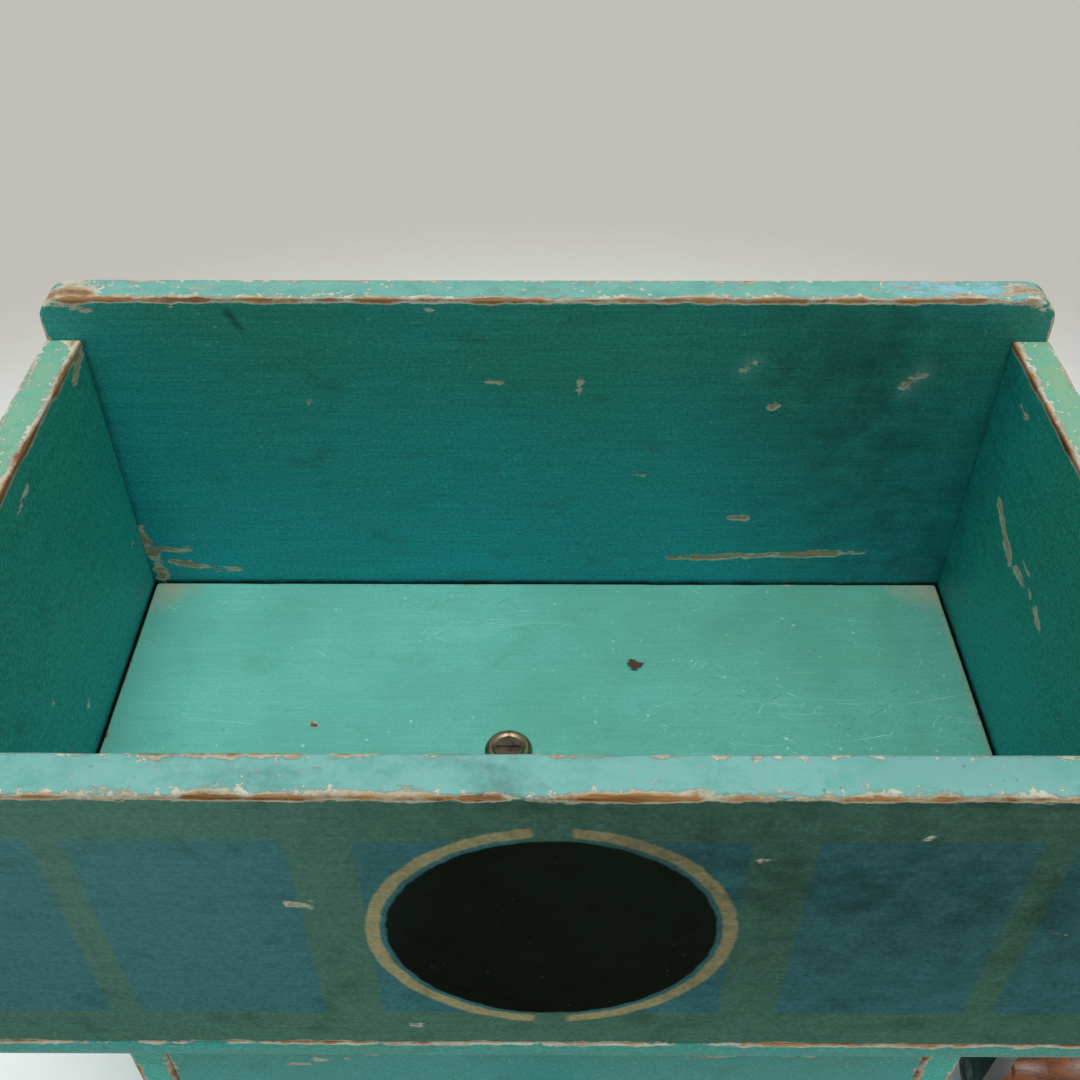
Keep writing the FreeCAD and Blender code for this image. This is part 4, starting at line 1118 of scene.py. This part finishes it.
    def side(self, node: str, inward: int, chips: list[Mark]) -> None:
        """Build a side, worn along the top.

        Args:
            node: the side's CAD node.
            inward: 1 if its inner face looks towards +X, else -1.
            chips: where its inner face is chipped.
        """
        low, high = corners_of(node)
        inside = high[0] if inward > 0 else low[0]
        inner, outer = ("+x", "-x") if inward > 0 else ("-x", "+x")
        rubbed = edges(node, 1.9, 1.0, inner + "+z", drop=0.6)
        rubbed += edges(node, 3.2, 0.62, inner + "+z", outer + "+z")
        middle = (low[0] + high[0]) / 2
        rubbed.append(Mark((middle, low[1], self.rim), (middle, high[1], self.rim), 8.0, 0.3))
        chips = chips + knocks(node, outer, 18, 22 + inward) + knocks(node, inner, 10, 32 + inward)
        foot, head = (inside, high[1], self.gap_height), (inside, high[1], self.rim)
        # Painted shade: a dark line in the floor's gap and a dark line in the back corner.
        grime_and_shade = [Mark((inside, low[1], self.gap_height), foot, 1.9, 1.9), Mark(foot, head, 1.2, 0.6)]
        tint_and_light = []
        if inward < 0:
            # On the right side, painted shade also spreads from the back corner, and the coat turns cooler
            # there.
            grime_and_shade.append(Mark(foot, head, 26.0, 0.42))
            tint_and_light.append(Mark(foot, head, 40.0, 1.0))
        age = Age(chips, rubbed, grime_and_shade, tint_and_light, pale_top=True, cool_heights=self.cool_heights)
        Board(node, TEAL_Y, 0, age, arris=(0.5, 0.5), seed=21 + inward).build()

    def front(self) -> None:
        """Build the stencilled front, most worn along its outer top edge."""
        rubbed = edges("tray_front", 1.7, 0.8, "-y+z", drop=0.7)
        rubbed += edges("tray_front", 3.2, 0.56, "-y+z") + edges("tray_front", 2.8, 0.52, "+y+z")
        rubbed += edges("tray_front", 2.2, 0.7, "-x-y", "+x-y", "-y-z")
        rubbed.append(Mark((-12, -64, self.rim - 0.7), (22, -64, self.rim - 0.7), 1.9, 1.12))
        rubbed += [Mark((x, -56.4, self.rim), (x + run, -56.2, self.rim), 2.2, 0.72) for x, run in (
            (-61, 3), (-47, 1), (-43.6, 7), (-32, 2.5), (-17.4, 2), (1, 3.4), (16.4, 1.6), (25.6, 1.4),
            (31, 1), (43.6, 2.2), (49, 3), (63.8, 1.7))]
        rubbed.append(Mark((-110, -60, self.rim), (110, -60, self.rim), 8.0, 0.16))
        chips = knocks("tray_front", "-y", 9, 34)
        # Painted shade darkens the right half of the outer face and the right end of the top edge.
        grime_and_shade = [Mark((16, -64, 176), (100, -64, 166), 80.0, 0.52),
                 Mark((48, -58, self.rim), (110, -58, self.rim), 14.0, 0.85)]
        # A broad faint pale patch at the left end of the outer face is painted light.
        scuffs_and_light = [Mark((-110, -64, 180), (-75, -64, 180), 60.0, 0.14)]
        age = Age(chips, rubbed, grime_and_shade, scuffs_and_light=scuffs_and_light, pale_top=True, even_tint=0.05, uneven=0.34)
        Board("tray_front", STENCILLED, 1, age, seed=31).build()

    def floor(self) -> None:
        """Build the loose floor panel and dress the cup washer and screw that hold it."""
        high = corners_of("tray_floor")[1]
        top = self.floor_top
        rubbed = [Mark((21.3, 27.3, top), (22.2, 27.1, top), 3.0, 0.98)]
        chips = edges("tray_floor", 1.3, 0.52, "+x+z") + edges("tray_floor", 1.4, 0.52, "+y+z", "-x+z")
        chips.append(Mark((-53.6, 8.3, top), (-53.2, 8.3, top), 2.0, 1.15))
        grime_and_shade = [Mark((side * 95, high[1], top), (side * 102, high[1] - 5, top), 9, 0.8) for side in (-1, 1)]
        grime_and_shade += [Mark((high[0], -30, top), (high[0], high[1], top), 3.0, 0.5)]
        # The broad cool, lighter patch over the left of the floor is painted light; the narrow one along the
        # right edge turns the coat cooler there.
        tint_and_light = [Mark((-110, 20, top), (-50, 20, top), 160, 1.0),
                Mark((99, -20, top), (99, 40, top), 18, 0.6)]
        age = Age(chips, rubbed, grime_and_shade, tint_and_light, even_tint=0.0)
        Board("tray_floor", MINT, 2, age, slot="painted_floor", arris=(0.5, 0.5), hole=self.throat_seat,
              seed=41).build()
        self.keep(NICKEL, "floor_cup_washer")
        self.keep(BROWNED, "floor_screw")


@dataclass
class MillCase(Assembly):
    """The case under the tray: deck, four walls and plinth. Sizes in mm."""

    pitch: float = 1.6
    moulding: float = 4.0
    plinth_corner: float = 5.0
    heights: Span = (118.0, 0.0)
    shaft_window: Opening = (-32.5, -17.5, 72.5, 87.5)
    throat_seat: Opening = THROAT_SEAT

    def build(self) -> None:
        """Build the boards, each worn along the edges that hands and cloths reach."""
        upright = ("-x-y", "+x-y", "-x+y", "+x+y")
        level = ("-y-z", "+y-z", "-x-z", "+x-z")
        plinth = Age(knocks("plinth", "+z", 60, 55),
                     edges("plinth", 4.0, 0.8, *upright) + edges("plinth", 2.6, 0.7, *level),
                     cool_heights=self.heights, uneven=0.4)
        Board("plinth", TEAL_X, 2, plinth, arris=(0.8, self.moulding), corners=(self.plinth_corner,) * 2,
              pitch=self.pitch, seed=51).build()
        deck = Age(rubbed=edges("deck", 2.4, 0.8, "-y+z", "+y+z", "-x+z", "+x+z", *upright), even_tint=0.15,
                   uneven=0.4)
        Board("deck", TEAL_X, 2, deck, arris=(self.moulding, 0.5), pitch=self.pitch, hole=self.throat_seat,
              seed=53).build()
        # The walls are darker along their top and bottom edges, under the deck and above the plinth, and
        # cooler towards the bottom.
        for node, face, seed in (("case_front", "-y", 61), ("case_back", "+y", 62)):
            age = Age(knocks(node, face, 30, seed), edges(node, 2.4, 0.72, *upright, "-y-z"),
                      edges(node, 9.0, 0.6, face + "+z", face + "-z"), cool_heights=self.heights, uneven=0.45)
            Board(node, TEAL_X, 1, age, arris=(0.8, 0.8), pitch=self.pitch, seed=seed).build()
        for node, face, seed in (("case_side_left", "-x", 71), ("case_side_right", "+x", 72)):
            age = Age(knocks(node, face, 22, seed), edges(node, 2.6, 0.78, *upright),
                      edges(node, 9.0, 0.6, face + "+z", face + "-z"), cool_heights=self.heights, uneven=0.45)
            Board(node, TEAL_Y, 0, age, arris=(0.8, 0.8), pitch=self.pitch, hole=self.shaft_window,
                  seed=seed).build()
        self.keep(PINE_Y, "drawer_strips")


@dataclass
class GrinderWorks(Assembly):
    """The iron grinder, its shaft and its adjusting screw, all kept as their solids."""

    iron: tuple[str, ...] = ("throat_liner", "grinder_body", "end_plate", "side_bearing", "adjuster_rosette",
                             "feed_worm")
    steel: tuple[str, ...] = ("throat_liner_screws", "grinder_bolts", "end_plate_screws", "bearing_screws",
                              "rosette_screws", "mill_shaft", "shaft_washer", "thrust_ball", "ring_burr",
                              "cone_burr", "adjusting_screw")

    def build(self) -> None:
        """Dress the castings, the steel and the brass bush."""
        self.keep(IRON, *self.iron)
        self.keep(STEEL, *self.steel)
        self.keep(BRASS, "bearing_bush")


@dataclass
class Crank(Assembly):
    """The crank arm with its turned grip, kept as their solids."""

    def build(self) -> None:
        """Dress the arm, its fittings and the grip."""
        self.keep(IRON, "crank_arm")
        self.keep(TURNED, "crank_grip")
        self.keep(STEEL, "crank_nut", "grip_pin", "grip_washer")


@dataclass
class GroundsDrawer(Assembly):
    """The drawer for the grounds: a painted front on a plain pine box."""

    heights: Span = (70.0, 0.0)

    def build(self) -> None:
        """Build the front and dress the box and the knob."""
        node = "drawer_front"
        # The front is darker along its top and bottom edges and cooler towards the bottom.
        age = Age(knocks(node, "-y", 14, 82), edges(node, 2.4, 0.76, "-x-y", "+x-y", "-y+z", "-y-z"),
                  edges(node, 7.0, 0.5, "-y-z", "-y+z"), cool_heights=self.heights, uneven=0.4)
        Board(node, TEAL_X, 1, age, body="drawer", arris=(1.2, 0.5), pitch=1.2, seed=81).build()
        self.keep(PINE_Y, "drawer_side_left", "drawer_side_right")
        self.keep(PINE, "drawer_back", "drawer_bottom")
        self.keep(TURNED_KNOB, "drawer_knob")
        self.keep(STEEL, "drawer_knob_screw")


@dataclass
class Studio:
    """Pale paper, one large soft lamp overhead, even fill, and the camera of the photograph.

    Lengths are in metres, angles in degrees and the sensor's width in mm.
    """

    paper_half: float = 4.0
    lamp_tilt: Span = (13.5, 0.0)
    lamp_spread: float = 32.0
    lamp_strength: float = 2.75
    fill: float = 0.34
    fill_colour: str = "#F4F8FF"
    wall_colour: str = "#C4C1B9"
    camera_place: Point = (-0.00015, -0.16668, 0.33896)
    pitch: float = 42.405
    yaw: float = -0.338
    roll: float = -0.097
    focal_pixels: float = 1194.65
    image_pixels: float = 1080.0
    sensor: float = 36.0
    nearest: float = 0.01

    def build(self) -> None:
        """Lay the paper, hang the lamp, set the fill and place the camera."""
        self.paper()
        self.lamp()
        self.world()
        self.camera()

    def paper(self) -> None:
        """Lay a flat sheet under the mill: a grid of two by two points."""
        half = self.paper_half
        corners = np.array([(-half, -half, 0), (half, -half, 0), (half, half, 0), (-half, half, 0)])
        mesh = bpy.data.meshes.new("paper")
        mesh.from_pydata(corners.tolist(), [], [(0, 1, 2, 3)])
        sheet = bpy.data.objects.new("paper", mesh)
        bpy.context.scene.collection.objects.link(sheet)
        StudioPaper().dress(sheet)

    def lamp(self) -> None:
        """Hang a wide soft lamp overhead, a little to the front and far off, so that it lights evenly."""
        light = bpy.data.lights.new("overhead", "SUN")
        light.energy, light.angle = self.lamp_strength, math.radians(self.lamp_spread)
        lamp = bpy.data.objects.new("overhead", light)
        lamp.rotation_euler = (*(math.radians(angle) for angle in self.lamp_tilt), 0.0)
        bpy.context.scene.collection.objects.link(lamp)

    def world(self) -> None:
        """Fill the room evenly; what the camera and clear reflections see of it is as pale as the paper."""
        world = bpy.data.worlds.new("studio")
        bpy.context.scene.world = world
        world.use_nodes = True
        tree = world.node_tree
        tree.nodes.clear()
        path = add_node(tree, "LightPath").node.outputs
        seen = path["Is Camera Ray"]
        for kind in ("Is Glossy Ray", "Is Transmission Ray"):
            seen = add_node(tree, "Math", {"operation": "MAXIMUM"}, seen, path[kind])
        fill = add_node(tree, "Background", {}, self.fill_colour, self.fill)
        wall = add_node(tree, "Background", {}, self.wall_colour, 1.0)
        add_node(tree, "OutputWorld", {}, add_node(tree, "MixShader", {}, seen, fill, wall))

    def camera(self) -> None:
        """Place the camera where a fit to the tray's corners puts it."""
        pitch, yaw, roll = (math.radians(angle) for angle in (self.pitch, self.yaw, self.roll))
        ahead = np.array([math.sin(yaw) * math.cos(pitch), math.cos(yaw) * math.cos(pitch), -math.sin(pitch)])
        right = np.array([math.cos(yaw), -math.sin(yaw), 0.0])
        up = np.cross(right, ahead)
        right, up = right * math.cos(roll) + up * math.sin(roll), up * math.cos(roll) - right * math.sin(roll)
        lens = bpy.data.cameras.new("photo_view")
        lens.sensor_width = self.sensor
        lens.lens = self.focal_pixels / self.image_pixels * self.sensor
        lens.clip_start = self.nearest
        view = bpy.data.objects.new("photo_view", lens)
        turned = Matrix(np.column_stack([right, up, -ahead]).tolist()).to_4x4()
        view.matrix_world = Matrix.Translation(self.camera_place) @ turned
        bpy.context.scene.collection.objects.link(view)
        bpy.context.scene.camera = view


def main() -> None:
    logging.basicConfig(level=logging.INFO, format="%(message)s")
    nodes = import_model()["nodes"]
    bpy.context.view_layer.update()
    for kind in (BeanTray, MillCase, GrinderWorks, Crank, GroundsDrawer):
        LOG.info("building the %s", kind.__name__)
        kind(nodes).build()
    Studio().build()
    bpy.context.scene.view_settings.view_transform = "Standard"


if __name__ == "__main__":
    main()
